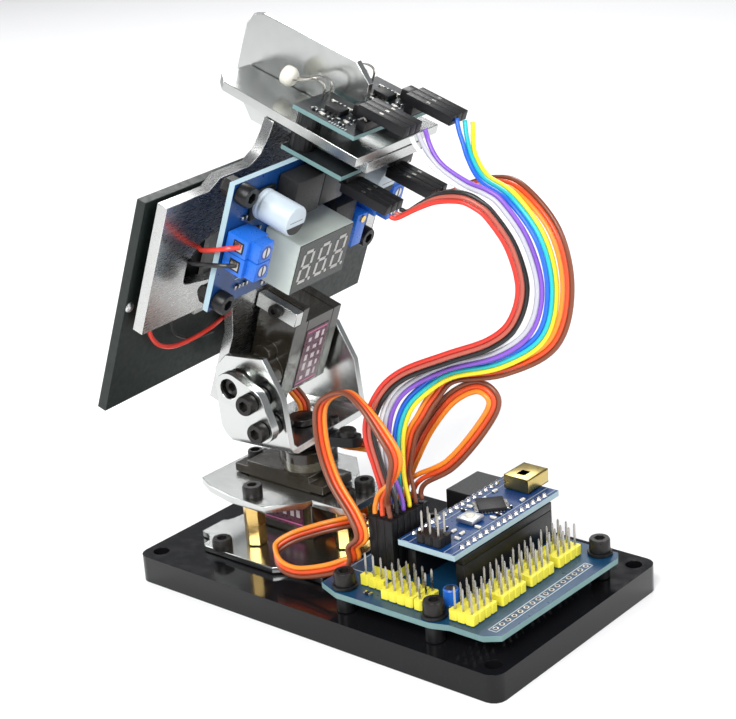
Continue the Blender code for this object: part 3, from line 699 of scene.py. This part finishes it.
def header_cell(piece, at, low, high, pin_top, look="yellow"):
    """One cell of a pin header: a small block with cut corners, and its square pin."""
    half, cut = 1.26, 0.4
    x, y = at
    ring = [(x - half, y - half + cut), (x - half + cut, y - half), (x + half - cut, y - half)]
    ring += [(x + half, y - half + cut), (x + half, y + half - cut), (x + half - cut, y + half)]
    ring += [(x - half + cut, y + half), (x - half, y + half - cut)]
    piece.prism(ring, low, high, look)
    if pin_top:
        piece.pin(at, high - 0.4, pin_top)


def signal_headers():
    side = Piece("signal_pins_side", "base")
    for row in range(3):
        for column in header_columns():
            header_cell(side, (42.86 + PITCH * row, column), *HEADER_SPAN)
    side.done("signal_headers_side", slot="yellow_plastic")
    end = Piece("signal_pins_end", "base")
    for column in range(4):
        for row in range(3):
            header_cell(end, (22.0 + PITCH * column, -28.2 + PITCH * row), *HEADER_SPAN)
    for row in (0, 1, 2):
        header_cell(end, (32.5, -28.2 + PITCH * row), *HEADER_SPAN)
    for column in range(3):
        header_cell(end, (12.7 + PITCH * column, -25.0), *HEADER_SPAN)
    end.done("signal_headers_end", slot="yellow_plastic")


def sockets():
    for name, x in (("socket_strip_near", 36.55), ("socket_strip_far", 21.3)):
        strip = Piece(f"{name}_moulded", "base")
        strip.box((x - 1.27, -16.85, 14.5), (x + 1.27, 21.25, 22.6), "black", 0.1)
        strip.box((x - 1.1, -16.7, 22.5), (x + 1.1, 21.1, 22.8), "black", 0)
        strip.box((x - 1.27, -16.85, 22.75), (x + 1.27, 21.25, 24.9), "black", 0.1)
        for pin in range(15):
            y = -15.56 + PITCH * pin
            strip.turned((x, y), [(0.85, 26.82), (0.75, 27.0), (0.42, 27.4)], "solder", sides=14)
            strip.pin((x, y), 24.8, 27.8)
        strip.done(name, slot="black_plastic")


def controller():
    board = refined("controller_board", "base", "blue_mask", 0.08)
    edge_look(board, "pale_edge")
    parts = Piece("controller_parts", "base")
    top = 26.85
    chip = circle((28.6, 7.4), 3.6 * math.sqrt(2), 4, 90)
    parts.prism(chip, top + 0.15, top + 1.1, "chip", bevel=0.15)
    slant = Matrix.Translation(Vector((28.6, 7.4, 0)) * MM) @ Matrix.Rotation(math.radians(45), 4, "Z")
    for side in range(4):
        quarter = slant @ Matrix.Rotation(math.radians(90 * side), 4, "Z")
        for lead in range(8):
            y = -2.8 + 0.8 * lead
            parts.box((3.4, y - 0.18, top + 0.1), (4.6, y + 0.18, top + 0.35), "pin", 0, matrix=quarter)
    parts.box((26.7, -5.1, 27.1), (31.9, 0.1, 28.35), "can", 0.2)
    small_parts(parts, top)
    for x in (26.36, 28.9, 31.44):
        for y in (-18.3, -15.76):
            header_cell(parts, (x, y), top + 0.1, top + 2.6, 35.6, "black")
    outline_box(parts, (20.9, -20.3), (23.5, 24.7), 26.8, 0.12)
    outline_box(parts, (34.3, -20.3), (36.9, 24.7), 26.8, 0.12)
    parts.done(slot="black_plastic")
    key = Piece("reset_button_cap", "reset_key")
    low, high = (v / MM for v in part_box("reset_button"))
    key.turned((29.3, -2.5), [(1.25, low.z + 0.05), (1.25, high.z - 0.2), (1.05, high.z)], "ceramic")
    key.done("reset_button", slot="black_plastic")


def small_parts(piece, top):
    """Resistors, capacitors and lights of a controller board."""
    places = ((24.2, 1.6, 0), (24.2, 4.2, 0), (33.3, 2.0, 0), (33.3, 4.4, 0), (33.3, -4.5, 0),
              (24.4, 9.8, 1))
    places += ((33.2, 9.2, 1), (24.0, 15.4, 1), (33.4, 14.6, 1), (26.8, -9.6, 1), (29.4, -9.6, 1),
               (32.0, -9.6, 1))
    places += ((24.6, -12.2, 0), (32.8, -12.4, 0), (28.6, -12.3, 0))
    for number, (x, y, tall) in enumerate(places):
        half = (0.45, 0.8) if tall else (0.8, 0.45)
        body = "ceramic" if number % 3 else "chip"
        piece.box((x - half[0], y - half[1], top), (x + half[0], y + half[1], top + 0.5), body, 0.06)
        for side in (-1, 1):
            dx, dy = (0, side * 0.7) if tall else (side * 0.7, 0)
            piece.box((x + dx - 0.3, y + dy - 0.3, top - 0.02), (x + dx + 0.3, y + dy + 0.3, top + 0.53),
                      "solder", 0.06)


def usb_socket():
    """A folded metal shell, open at its mouth, with the plastic tongue inside."""
    shell = Piece("usb_shell", "base")
    low, high = (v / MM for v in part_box("usb_socket"))
    x0, x1, z0, z1 = low.x, high.x, low.z, high.z
    wall = 0.4
    for a, b in (((x0, z0), (x1, z0 + wall)), ((x0, z1 - wall), (x1, z1)), ((x0, z0), (x0 + wall, z1)),
                 ((x1 - wall, z0), (x1, z1))):
        shell.box((a[0], low.y, a[1]), (b[0], high.y, b[1]), "gold", 0.1)
    shell.box((x0 + 0.2, low.y, z0 + 0.2), (x1 - 0.2, low.y + 1.0, z1 - 0.2), "gold", 0)
    shell.box((x0 + 1.6, low.y + 0.8, z0 + 1.5), (x1 - 1.6, high.y - 1.2, z0 + 2.6), "black", 0.1)
    shell.box((x0 + 2.6, low.y + 2.0, z1 - 0.05), (x1 - 2.6, low.y + 5.0, z1), "black", 0)
    shell.done("usb_socket", slot="gilt_shell")


def power_jack():
    refined("dc_jack", "base", "black", 0.3)
    inner = Piece("jack_contact", "base")
    inner.turned((14.2, 20.6), [(1.0, 16.0), (1.0, 25.0), (0.6, 25.6)], "pin", axis="y", sides=20)
    inner.done(slot="black_plastic")


def plug_block():
    """Six three-way plug housings side by side on their pins."""
    block = Piece("lead_plugs", "base")
    rows = (-19.2, -16.7, -14.1, -11.6, -9.1, -6.5)
    for row in rows:
        for column in (-1, 0, 1):
            x = 14.5 + column * PITCH
            block.box((x - 1.25, row - 1.2, 17.05), (x + 1.25, row + 1.2, 31.0), "housing", 0.15)
            block.box((x - 0.5, row - 1.23, 22.5), (x + 0.5, row - 1.0, 23.7), "chip", 0)
            block.turned((x, row), [(0.75, 30.9), (0.75, 31.04)], "black", sides=12)
    for row in rows:
        for column in (-1, 0, 1):
            header_cell(block, (14.5 + column * PITCH, row), 14.5, 17.0, None, "yellow")
    block.done("plug_block", slot="black_plastic")


# ---------------------------------------------------------------- pan yoke


def pan_parts():
    refined("pan_horn", "pan_yoke", "black", 0.3)
    refined("yoke", "pan_yoke", "alu", 0.14)
    refined("tilt_horn", "pan_yoke", "alu", 0.18)
    screws = Piece("yoke_screws", "pan_yoke")
    knurled = [(3.9, 41.1), (4.0, 41.25, "knurl"), (4.0, 42.6, "knurl"), (3.8, 42.8)]
    screws.turned((0, 0), [*knurled, (2.2, 42.8), (2.2, 43.0), (1.2, 43.15)], "steel", sides=44)
    screws.done("yoke_screw", slot="black_steel")
    small = Piece("horn_screws", "pan_yoke")
    for at in ((-0.6, -6.3), (7.6, 3.8)):
        small.cap_screw(at, 40.8, 1.6, 1.5, socket=0.7)
    small.turned((12.8, 2.7), [(2.5, 38.6), (2.5, 39.9), (2.1, 40.3)], "steel", sides=32)
    small.turned((-6.1, 57.5), [(2.72, -17.55), (2.72, -18.2)], "steel", axis="y", sides=40)
    small.cap_screw((-6.1, 57.5), -18.2, -2.6, 2.35, axis="y", socket=1.1, knurl=False)
    small.done(slot="black_steel")
    for number, at in enumerate(((0.85, 54.75), (3.85, 47.45)), 1):
        screw = Piece(f"arm_screw_{number}_turned", "pan_yoke")
        screw.turned(at, [(3.0, -17.6), (3.0, -19.15)], "black", axis="y", sides=32)
        screw.cap_screw(at, -22.6, -2.7, 2.75, axis="y")
        screw.done(f"arm_screw_{number}", slot="black_steel")


# ---------------------------------------------------------------- head


def head_servo():
    refined("tilt_servo", "head", "smoke", 0.4)
    trim = Piece("tilt_servo_trim", "head")
    trim.box((18.15, -0.3, -5.4), (18.35, 9.5, 13.0), "label", 0)
    for u in (-4.6, 12.0):
        trim.box((18.3, 0.2, u), (18.4, 9.0, u + 0.35), "label_line", 0)
    for row, (y, size) in enumerate(((1.4, 1.2), (4.2, 1.6), (7.2, 0.9))):
        for step in range(5):
            u = -3.4 + step * 3.1
            trim.box((18.3, y, u), (18.4, y + size, u + (1.2 + (step * 7 + row * 3) % 4 * 0.35)),
                     "label_white", 0)
    for y in (-0.9, 10.4):
        trim.box((5.95, y, -6.25), (18.25, y + 0.18, 16.65), "black", 0)
    trim.done(slot="smoky_nylon")


def head_plates():
    refined("head_plate", "head", "alu_head", 0.14)
    refined("clamp_upper", "head", "alu", 0.2)
    refined("clamp_lower", "head", "alu", 0.2)
    refined("sensor_shelf", "head", "alu", 0.14)
    refined("sensor_divider", "head", "alu", 0.14)
    pivot = Piece("pivot_screw_turned", "head")
    low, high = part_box("pivot_screw")
    pivot.turned((12.1, -0.3), [(2.6, 14.4), (2.6, 15.0)], "pin", axis="y", sides=32)
    pivot.cap_screw((12.1, -0.3), 17.6, 2.2, 2.7, axis="y")
    pivot.turned((12.1, -0.3), [(1.5, 14.3), (1.5, 17.7)], "steel", axis="y", sides=20)
    pivot.done("pivot_screw", slot="black_steel")
    foam = Piece("foam_tape", "head")
    for y in (-30.0, 16.0):
        foam.box((0.3, y, 20.0), (1.7, y + 12.0, 52.0), "foam", 0.2)
    foam.done(slot="black_plastic")
    screws = Piece("clamp_screws", "head")
    for u in (19.1, -8.9):
        screws.cap_screw((12.1, u), -7.9, -1.6, 1.9, axis="y", socket=0.8)
    screws.done(slot="black_steel")


def panel():
    refined("solar_panel", "head", "panel_back", 0.15)
    front = Piece("panel_cells", "head")
    for row in range(2):
        for column in range(6):
            y, u = -54.3 + column * 17.7, 2.0 + row * 28.4
            front.box((-2.62, y, u), (-2.4, y + 16.9, u + 27.6), "cell", 0)
            for bar in (0.3, 0.7):
                front.box((-2.66, y + 16.9 * bar - 0.3, u), (-2.6, y + 16.9 * bar + 0.3, u + 27.6), "pin",
                          0)
            for finger in range(9):
                front.box((-2.64, y, u + 1.5 + finger * 3.0), (-2.61, y + 16.9, u + 1.6 + finger * 3.0),
                          "pin", 0)
    front.done(slot="cell_glass")
    joints_piece = Piece("panel_solder", "head")
    for y, u in ((-55.2, 30.4), (49.5, 30.4)):
        joints_piece.turned((y, u), [(1.4, 0.0), (1.2, 0.35), (0.5, 0.7)], "solder", axis="x", sides=16)
    joints_piece.done(slot="cell_glass")


def panel_leads():
    """The panel's own two thin wires, from their solder joints through the plate to the meter's terminals."""
    lead = Piece("panel_wires", "head")
    red = [(1.0, -47.6, 26.0), (1.2, -47.0, 21.5), (1.6, -45.6, 18.6), (2.2, -42.7, 15.8),
           (2.8, -38.1, 14.0)]
    red += [(3.0, -31.7, 13.5), (2.6, -23.1, 13.7), (1.4, -16.5, 13.8), (0.9, -13.2, 14.2)]
    lead.tube(smooth_route(red), 0.6, "red")
    jet = [(0.9, -39.5, 26.0), (1.1, -38.0, 19.5), (1.6, -36.0, 16.2), (1.9, -30.2, 13.0),
           (1.6, -24.5, 11.4)]
    jet += [(1.0, -18.5, 10.2)]
    lead.tube(smooth_route(jet), 0.35, "jet")
    exit_red = [(0.9, -32.0, 46.0), (2.4, -36.6, 44.6), (5.6, -39.4, 45.0), (8.5, -42.0, 46.8),
                (13.0, -44.6, 50.0)]
    exit_red += [(17.2, -44.4, 52.6), (19.4, -41.0, 53.0)]
    lead.tube(smooth_route(exit_red), 0.6, "red")
    exit_jet = [(0.9, -34.0, 40.5), (2.4, -38.0, 40.2), (5.6, -41.5, 41.6), (9.0, -43.6, 43.6),
                (13.4, -45.2, 46.2)]
    exit_jet += [(17.4, -44.3, 47.8), (19.4, -41.0, 47.9)]
    lead.tube(smooth_route(exit_jet), 0.6, "jet")
    lead.done(slot="lead_insulation")


def meter():
    board = refined("meter_board", "head", "blue_mask", 0.08)
    edge_look(board, "pale_edge")
    places = ((-40.4, 35.4), (-40.4, 65.4), (19.6, 35.4), (19.6, 65.4))
    for number, at in enumerate(places, 1):
        post = Piece(f"meter_post_{number}_turned", "head")
        if at[0] > 0:
            post.turned(at, [(2.5, 5.3), (2.5, 12.55)], "can", axis="x", sides=6)
        else:
            post.turned(at, [(2.55, 10.2), (2.7, 10.4), (2.7, 12.35), (2.55, 12.55)], "steel", axis="x",
                        sides=6)
        post.turned(at, [(1.35, 9.2), (1.35, 15.0)], "steel", axis="x", sides=16)
        post.cap_screw(at, 14.75, 3.2, 2.8, axis="x", look="black")
        post.done(f"meter_post_{number}", slot="black_steel")
    display()
    terminals()
    capacitors()
    meter_parts()


def display():
    shown = Piece("display_module", "head")
    n0, n1, y0, y1, u0, u1 = 14.75, 25.7, -26.3, -3.8, 37.4, 51.7
    shown.box((n0, y0, u0), (n1 - 0.3, y1, u1), "shell", 0.2)
    shown.box((n1 - 0.35, y0 + 0.25, u0 + 0.25), (n1 - 0.1, y1 - 0.25, u1 - 0.25), "face", 0)
    for digit in range(3):
        seven_segments(shown, y0 + 4.4 + digit * 6.9, u0 + 7.1, n1 - 0.12)
    shown.done("meter_display", slot="display_shell")


def seven_segments(piece, y, u, n):
    """A figure eight of seven bars with its point, centred on (y, u)."""
    wide, tall, thick, lean = 3.7, 8.4, 0.85, 0.12

    def bar(a, b, c, d):
        ring = [(p + lean * q + y, q + u) for p, q in rectangle((a, b), (c, d))]
        piece.prism(ring, n, n + 0.12, "segment", axis="x")

    for height in (-tall / 2, 0, tall / 2):
        bar(-wide / 2 + 0.5, height - thick / 2, wide / 2 - 0.5, height + thick / 2)
    for side in (-1, 1):
        for half in (-1, 1):
            middle = half * tall / 4
            bar(side * wide / 2 - thick / 2, middle - 1.6, side * wide / 2 + thick / 2, middle + 1.6)
    piece.turned((y + wide / 2 + 0.75, u - tall / 2), [(0.5, n), (0.5, n + 0.12)], "segment", axis="x",
                 sides=14)


def terminals():
    for name, y0, y1, outer in (("terminal_left", -42.4, -34.6, -1), ("terminal_right", 13.8, 21.6, 1)):
        block = Piece(f"{name}_moulded", "head")
        for u in (47.9, 53.0):
            low, high = u - 2.48, u + 2.48
            block.box((14.75, y0, low), (21.0, y1, high), "blue", 0.15)
            block.box((20.8, y0 + 1.2, low), (24.0, y1 - 1.2, high), "blue", 0.25)
            mid = (y0 + y1) / 2
            # painted shade: a flat darker blue ring round the screw head stands for the shaded walls of its
            # recess
            block.turned((mid, u), [(1.9, 24.0), (1.9, 24.04)], "recess_shade_blue", axis="x", sides=24)
            block.turned((mid, u), [(1.4, 24.0), (1.4, 24.07)], "can", axis="x", sides=24)
            # painted shade: a thin dark bar stands for the shade in the screw's slot
            block.box((24.0, mid - 0.25, u - 1.35), (24.1, mid + 0.25, u + 1.35), "chip", 0)
            side = y0 if outer < 0 else y1
            # painted shade: a dark frame round the clamp's metal stands for the shaded wire opening
            block.box((16.9, side - 0.06, u - 1.5), (20.0, side + 0.06, u + 1.5), "chip", 0)
            block.box((17.3, side - 0.1, u - 1.1), (19.6, side + 0.1, u + 1.1), "pin", 0)
        block.done(name, slot="blue_plastic")


def capacitors():
    for name, at in (("capacitor_left", (-31.7, 60.5)), ("capacitor_right", (7, 60))):
        can = Piece(f"{name}_can", "head")
        can.box((14.75, at[0] - 4.1, at[1] - 4.1), (15.6, at[0] + 4.1, at[1] + 4.1), "black", 0.3)
        profile = [(3.9, 15.5), (4.0, 15.8), (4.0, 16.4), (3.7, 16.7), (3.7, 17.0), (4.0, 17.4)]
        profile += [(4.0, 25.5), (3.85, 25.85), (3.5, 26.0)]
        can.turned(at, profile, "can_sleeve", axis="x", sides=48)
        can.box((25.98, at[0] - 2.4, at[1] - 0.07), (26.02, at[0] + 2.4, at[1] + 0.07), "chip", 0)
        can.prism(arc_patch(at, 3.6), 25.96, 26.03, "chip", axis="x")
        can.done(name, slot="capacitor_can")


def arc_patch(at, radius):
    """The dark printed half moon that marks a capacitor's negative side."""
    angles = [math.radians(200 + 14 * i) for i in range(11)]
    return [(at[0] + radius * math.cos(a), at[1] + radius * math.sin(a)) for a in angles]


def meter_parts():
    parts = Piece("meter_small_parts", "head")
    parts.box((14.7, -25.8, 56.2), (20.6, -14.4, 66.6), "chip", 0.5)
    parts.box((14.7, -12.4, 55.6), (19.4, -2.4, 65.8), "black", 0.4)
    parts.box((14.7, -1.6, 41.6), (18.6, 7.6, 51.6), "chip", 0.4)
    parts.box((14.7, 9.0, 36.6), (19.2, 13.4, 46.2), "blue", 0.25)
    parts.turned((11.2, 44.8), [(1.0, 19.2), (1.0, 19.7), (0.5, 19.7)], "brass", axis="x", sides=16)
    for y, u in ((-33.5, 36.8), (-30.5, 36.8), (-33.5, 40.4), (-30.0, 43.0), (-31.0, 47.0), (-30.2, 52.6),
                 (-22.0, 34.4), (-14.0, 34.4), (-6.0, 34.4), (1.0, 36.0), (5.0, 36.0), (11.5, 52.5),
                 (15.0, 60.0),
                 (-37.0, 57.6), (-10.5, 53.4), (0.5, 53.8), (15.6, 40.5)):
        parts.box((14.45, y - 0.9, u - 0.5), (15.05, y + 0.9, u + 0.5), "chip", 0.08)
        for side in (-1, 1):
            parts.box((14.42, y + side * 0.8 - 0.28, u - 0.52), (15.1, y + side * 0.8 + 0.28, u + 0.52),
                      "solder", 0.06)
    for row in range(3):
        parts.box((14.45, -34.6, 39.0 + row * 3), (14.5, -28.6, 39.15 + row * 3), "silk", 0)
    parts.done(slot="black_plastic")


# ---------------------------------------------------------------- light sensors


def sensors():
    corners = ((9.6, -19, 80), (10.6, 0.2, 80), (8.9, -19, 68.7), (9.9, 0.2, 68.7))
    for number, corner in enumerate(corners, 1):
        board = refined(f"sensor_board_{number}", "head", "black_mask", 0.08)
        edge_look(board, "edge")
        sensor_parts(number, corner, 1 if number < 3 else -1)
    plugs = ((25, -15, 84.8), (27.5, 1.6, 84.8), (26.4, -16.4, 64.6), (28, 1, 64.6))
    for number, corner in enumerate(plugs, 1):
        sensor_plug(number, corner)


def sensor_plug(number, corner):
    n, y, u = corner
    plug = Piece(f"sensor_plug_{number}_moulded", "head")
    for cell in range(3):
        low = y + cell * 2.53
        plug.box((n, low + 0.02, u), (n + 13.8, low + 2.51, u + 2.5), "housing", 0.16)
        for face in (u - 0.02, u + 2.48):
            plug.box((n + 5.4, low + 0.8, face), (n + 6.5, low + 1.6, face + 0.04), "pin", 0)
        plug.turned((low + 1.27, u + 1.25), [(0.75, n + 13.7), (0.75, n + 13.83)], "black", axis="x",
                    sides=12)
    plug.done(f"sensor_plug_{number}", slot="black_plastic")


def sensor_parts(number, corner, up):
    """The chip, trimmer, small parts and pins of one sensor board, and its two spacers against the shelf."""
    n, y, u = corner
    face = u + 1.2 if up > 0 else u

    def on(a, b, look, bevel=0.1):
        low, high = sorted((face + up * a[2], face + up * b[2]))
        parts.box((n + a[0], y + a[1], low), (n + b[0], y + b[1], high), look, bevel)

    parts = Piece(f"sensor_{number}_parts", "head")
    on((6.0, 4.6, 0.1), (10.6, 8.6, 1.5), "chip", 0.15)
    for lead in range(4):
        for side in (3.9, 8.5):
            on((6.3 + lead * 1.2, side, 0.0), (6.75 + lead * 1.2, side + 0.8, 0.4), "pin", 0)
    on((11.0, 9.2, 0.1), (15.0, 13.6, 3.0), "steel", 0.4)
    for k, (dx, dy) in enumerate(((12.5, 2.0), (12.5, 4.2), (12.5, 6.4), (4.0, 10.6), (6.4, 10.6), (8.8,
        10.6), (4, 2.4),
                                  (6.6, 2.2), (9.2, 2.0))):
        on((dx, dy - 0.35, 0.02), (dx + 1.5, dy + 0.35, 0.5), "ceramic" if k % 2 else "chip", 0.06)
        on((dx - 0.1, dy - 0.4, 0.0), (dx + 0.3, dy + 0.4, 0.55), "solder", 0.06)
        on((dx + 1.2, dy - 0.4, 0.0), (dx + 1.6, dy + 0.4, 0.55), "solder", 0.06)
    on((16.2, 3.6, 0.1), (18.7, 11.3, 2.6), "black", 0.12)
    height = face + up * 1.9
    for pin in range(3):
        at = y + 4.9 + pin * PITCH
        low, high = sorted((face, height + up * 0.3))
        parts.box((n + 17.2, at - 0.32, low), (n + 17.8, at + 0.32, high), "pin", 0)
        lean = sensor_pin(n + 17.5, at, height, number)
        parts.tube(lean, 0.34, "pin", sides=4)
    inner = face - up * 1.2
    shelf = 76.8 if up > 0 else 74.3
    low, high = sorted((inner - up * 0.05, shelf + up * 0.05))
    for at, wide, look in (((n + 3.4, y + 3.6), 3.2, "black"), ((n + 9.0, y + 11.0), 2.6, "can")):
        side = "knurl" if look == "black" else "round"
        parts.turned(at, [(wide, low, side), (wide, high, side)], look, sides=40)
    for k in range(7):
        on((3.6 + k * 1.7, 4.0 + (k * 5 % 4) * 0.25, -0.02),
           (4.4 + k * 1.7, 4.25 + (k * 3 % 5) * 0.2, 0.03), "silk", 0)
        on((10.4 + k * 0.8, 0.5, -0.02), (10.7 + k * 0.8, 1.3, 0.03), "silk", 0)
    parts.done(slot="black_plastic")
    light_sensor(number, corner, up)


def sensor_pin(n, y, height, number):
    """A pin from a sensor board's header into its plug."""
    starts = {1: 25, 2: 27.5, 3: 26.4, 4: 28}
    level = 86.05 if number < 3 else 65.85
    first = {1: -15, 2: 1.6, 3: -16.4, 4: 1}[number]
    return [(n, y, height), (n + 1.0, y, height), (starts[number] + 0.6, max(first + 0.6, min(y,
        first + 7)), level)]


def light_sensor(number, corner, up):
    """A round photocell on two long bent leads, in front of the board."""
    n, y, u = corner
    face = u + 1.2 if up > 0 else u
    middle = y + 8.6
    level = face + up * 0.5
    if number in (1, 3):
        middle = -8.2
    cell = Piece(f"photocell_{number}", "head")
    front = -1.6
    bead = [(2.0, front), (2.4, front + 0.25), (2.55, front + 0.9), (2.5, front + 2.2), (2.0, front + 3.0)]
    cell.turned((middle, level), [*bead, (1.2, front + 3.4)], "ceramic", axis="x", sides=32)
    for track in range(4):
        cell.box((front - 0.05, middle - 1.5, level - 1.5 + track * 0.95),
                 (front + 0.02, middle + 1.5, level - 1.2 + track * 0.95), "scarlet", 0)
    for side in (-1, 1):
        wire = [(front + 3.2, middle + side * 1.0, level),
                (front + 6, middle + side * 1.3, level + up * 1.2)]
        wire += [(n - 1.5, middle + side * 1.6, level + up * 3.4),
                 (n + 1.6, middle + side * 1.5, level + up * 3.0)]
        wire += [(n + 2.0, middle + side * 1.3, face)]
        cell.tube(smooth_route(wire), 0.28, "pin", sides=8)
    cell.done(slot="display_shell")


# ---------------------------------------------------------------- stage, light and camera

CAMERA_PLACE = (0.29874, -0.34666, 0.23511)
CAMERA_AZIMUTH, CAMERA_HEIGHT, CAMERA_ROLL = 41.087, 20.429, -3.954
CAMERA_LENS = 92.64


def camera():
    a, e, roll = (math.radians(v) for v in (CAMERA_AZIMUTH, CAMERA_HEIGHT, CAMERA_ROLL))
    back = Vector((math.sin(a) * math.cos(e), -math.cos(a) * math.cos(e), math.sin(e)))
    right = (-back).cross(Vector((0, 0, 1))).normalized()
    up = right.cross(-back).normalized()
    side = right * math.cos(roll) + up * math.sin(roll)
    top = up * math.cos(roll) - right * math.sin(roll)
    data = bpy.data.cameras.new("Camera")
    data.lens, data.sensor_width = CAMERA_LENS, 36
    data.clip_start, data.clip_end = 0.01, 20
    made = bpy.data.objects.new("Camera", data)
    made.matrix_world = Matrix((side, top, back)).transposed().to_4x4()
    made.location = CAMERA_PLACE
    bpy.context.collection.objects.link(made)
    bpy.context.scene.camera = made


def lamp(name, place, size, power, target=(0, 0, 0.06)):
    data = bpy.data.lights.new(name, "AREA")
    data.energy, data.size = power, size
    made = bpy.data.objects.new(name, data)
    made.location = place
    made.rotation_euler = (Vector(target) - Vector(place)).to_track_quat("-Z", "Y").to_euler()
    bpy.context.collection.objects.link(made)


def studio():
    mesh = bpy.data.meshes.new("floor")
    mesh.from_pydata([(-3, -3, 0), (3, -3, 0), (3, 3, 0), (-3, 3, 0)], [], [(0, 1, 2, 3)])
    mesh.materials.append(surface("floor_paper", (0.86, 0.86, 0.86), (0.84, 0.84, 0.84), (0.8, 0.9),
                                  scale=40))
    floor = bpy.data.objects.new("floor", mesh)
    bpy.context.collection.objects.link(floor)
    lamp("key", (0.25, -0.75, 0.75), 0.6, 14)
    lamp("fill", (0.95, 0.15, 0.45), 0.8, 6)
    lamp("back", (-0.55, 0.6, 0.85), 0.6, 7)
    lamp("left", (-0.9, -0.35, 0.4), 0.5, 4)
    world = bpy.data.worlds.new("World")
    world.use_nodes = True
    world.node_tree.nodes["Background"].inputs["Color"].default_value = (0.93, 0.95, 1.0, 1)
    world.node_tree.nodes["Background"].inputs["Strength"].default_value = 0.28
    bpy.context.scene.world = world
    bpy.context.scene.view_settings.view_transform = "Standard"


def main():
    camera()
    leads()
    plates()
    pan_servo()
    shield()
    signal_headers()
    sockets()
    controller()
    usb_socket()
    power_jack()
    plug_block()
    pan_parts()
    head_servo()
    head_plates()
    panel()
    panel_leads()
    meter()
    sensors()
    studio()


main()
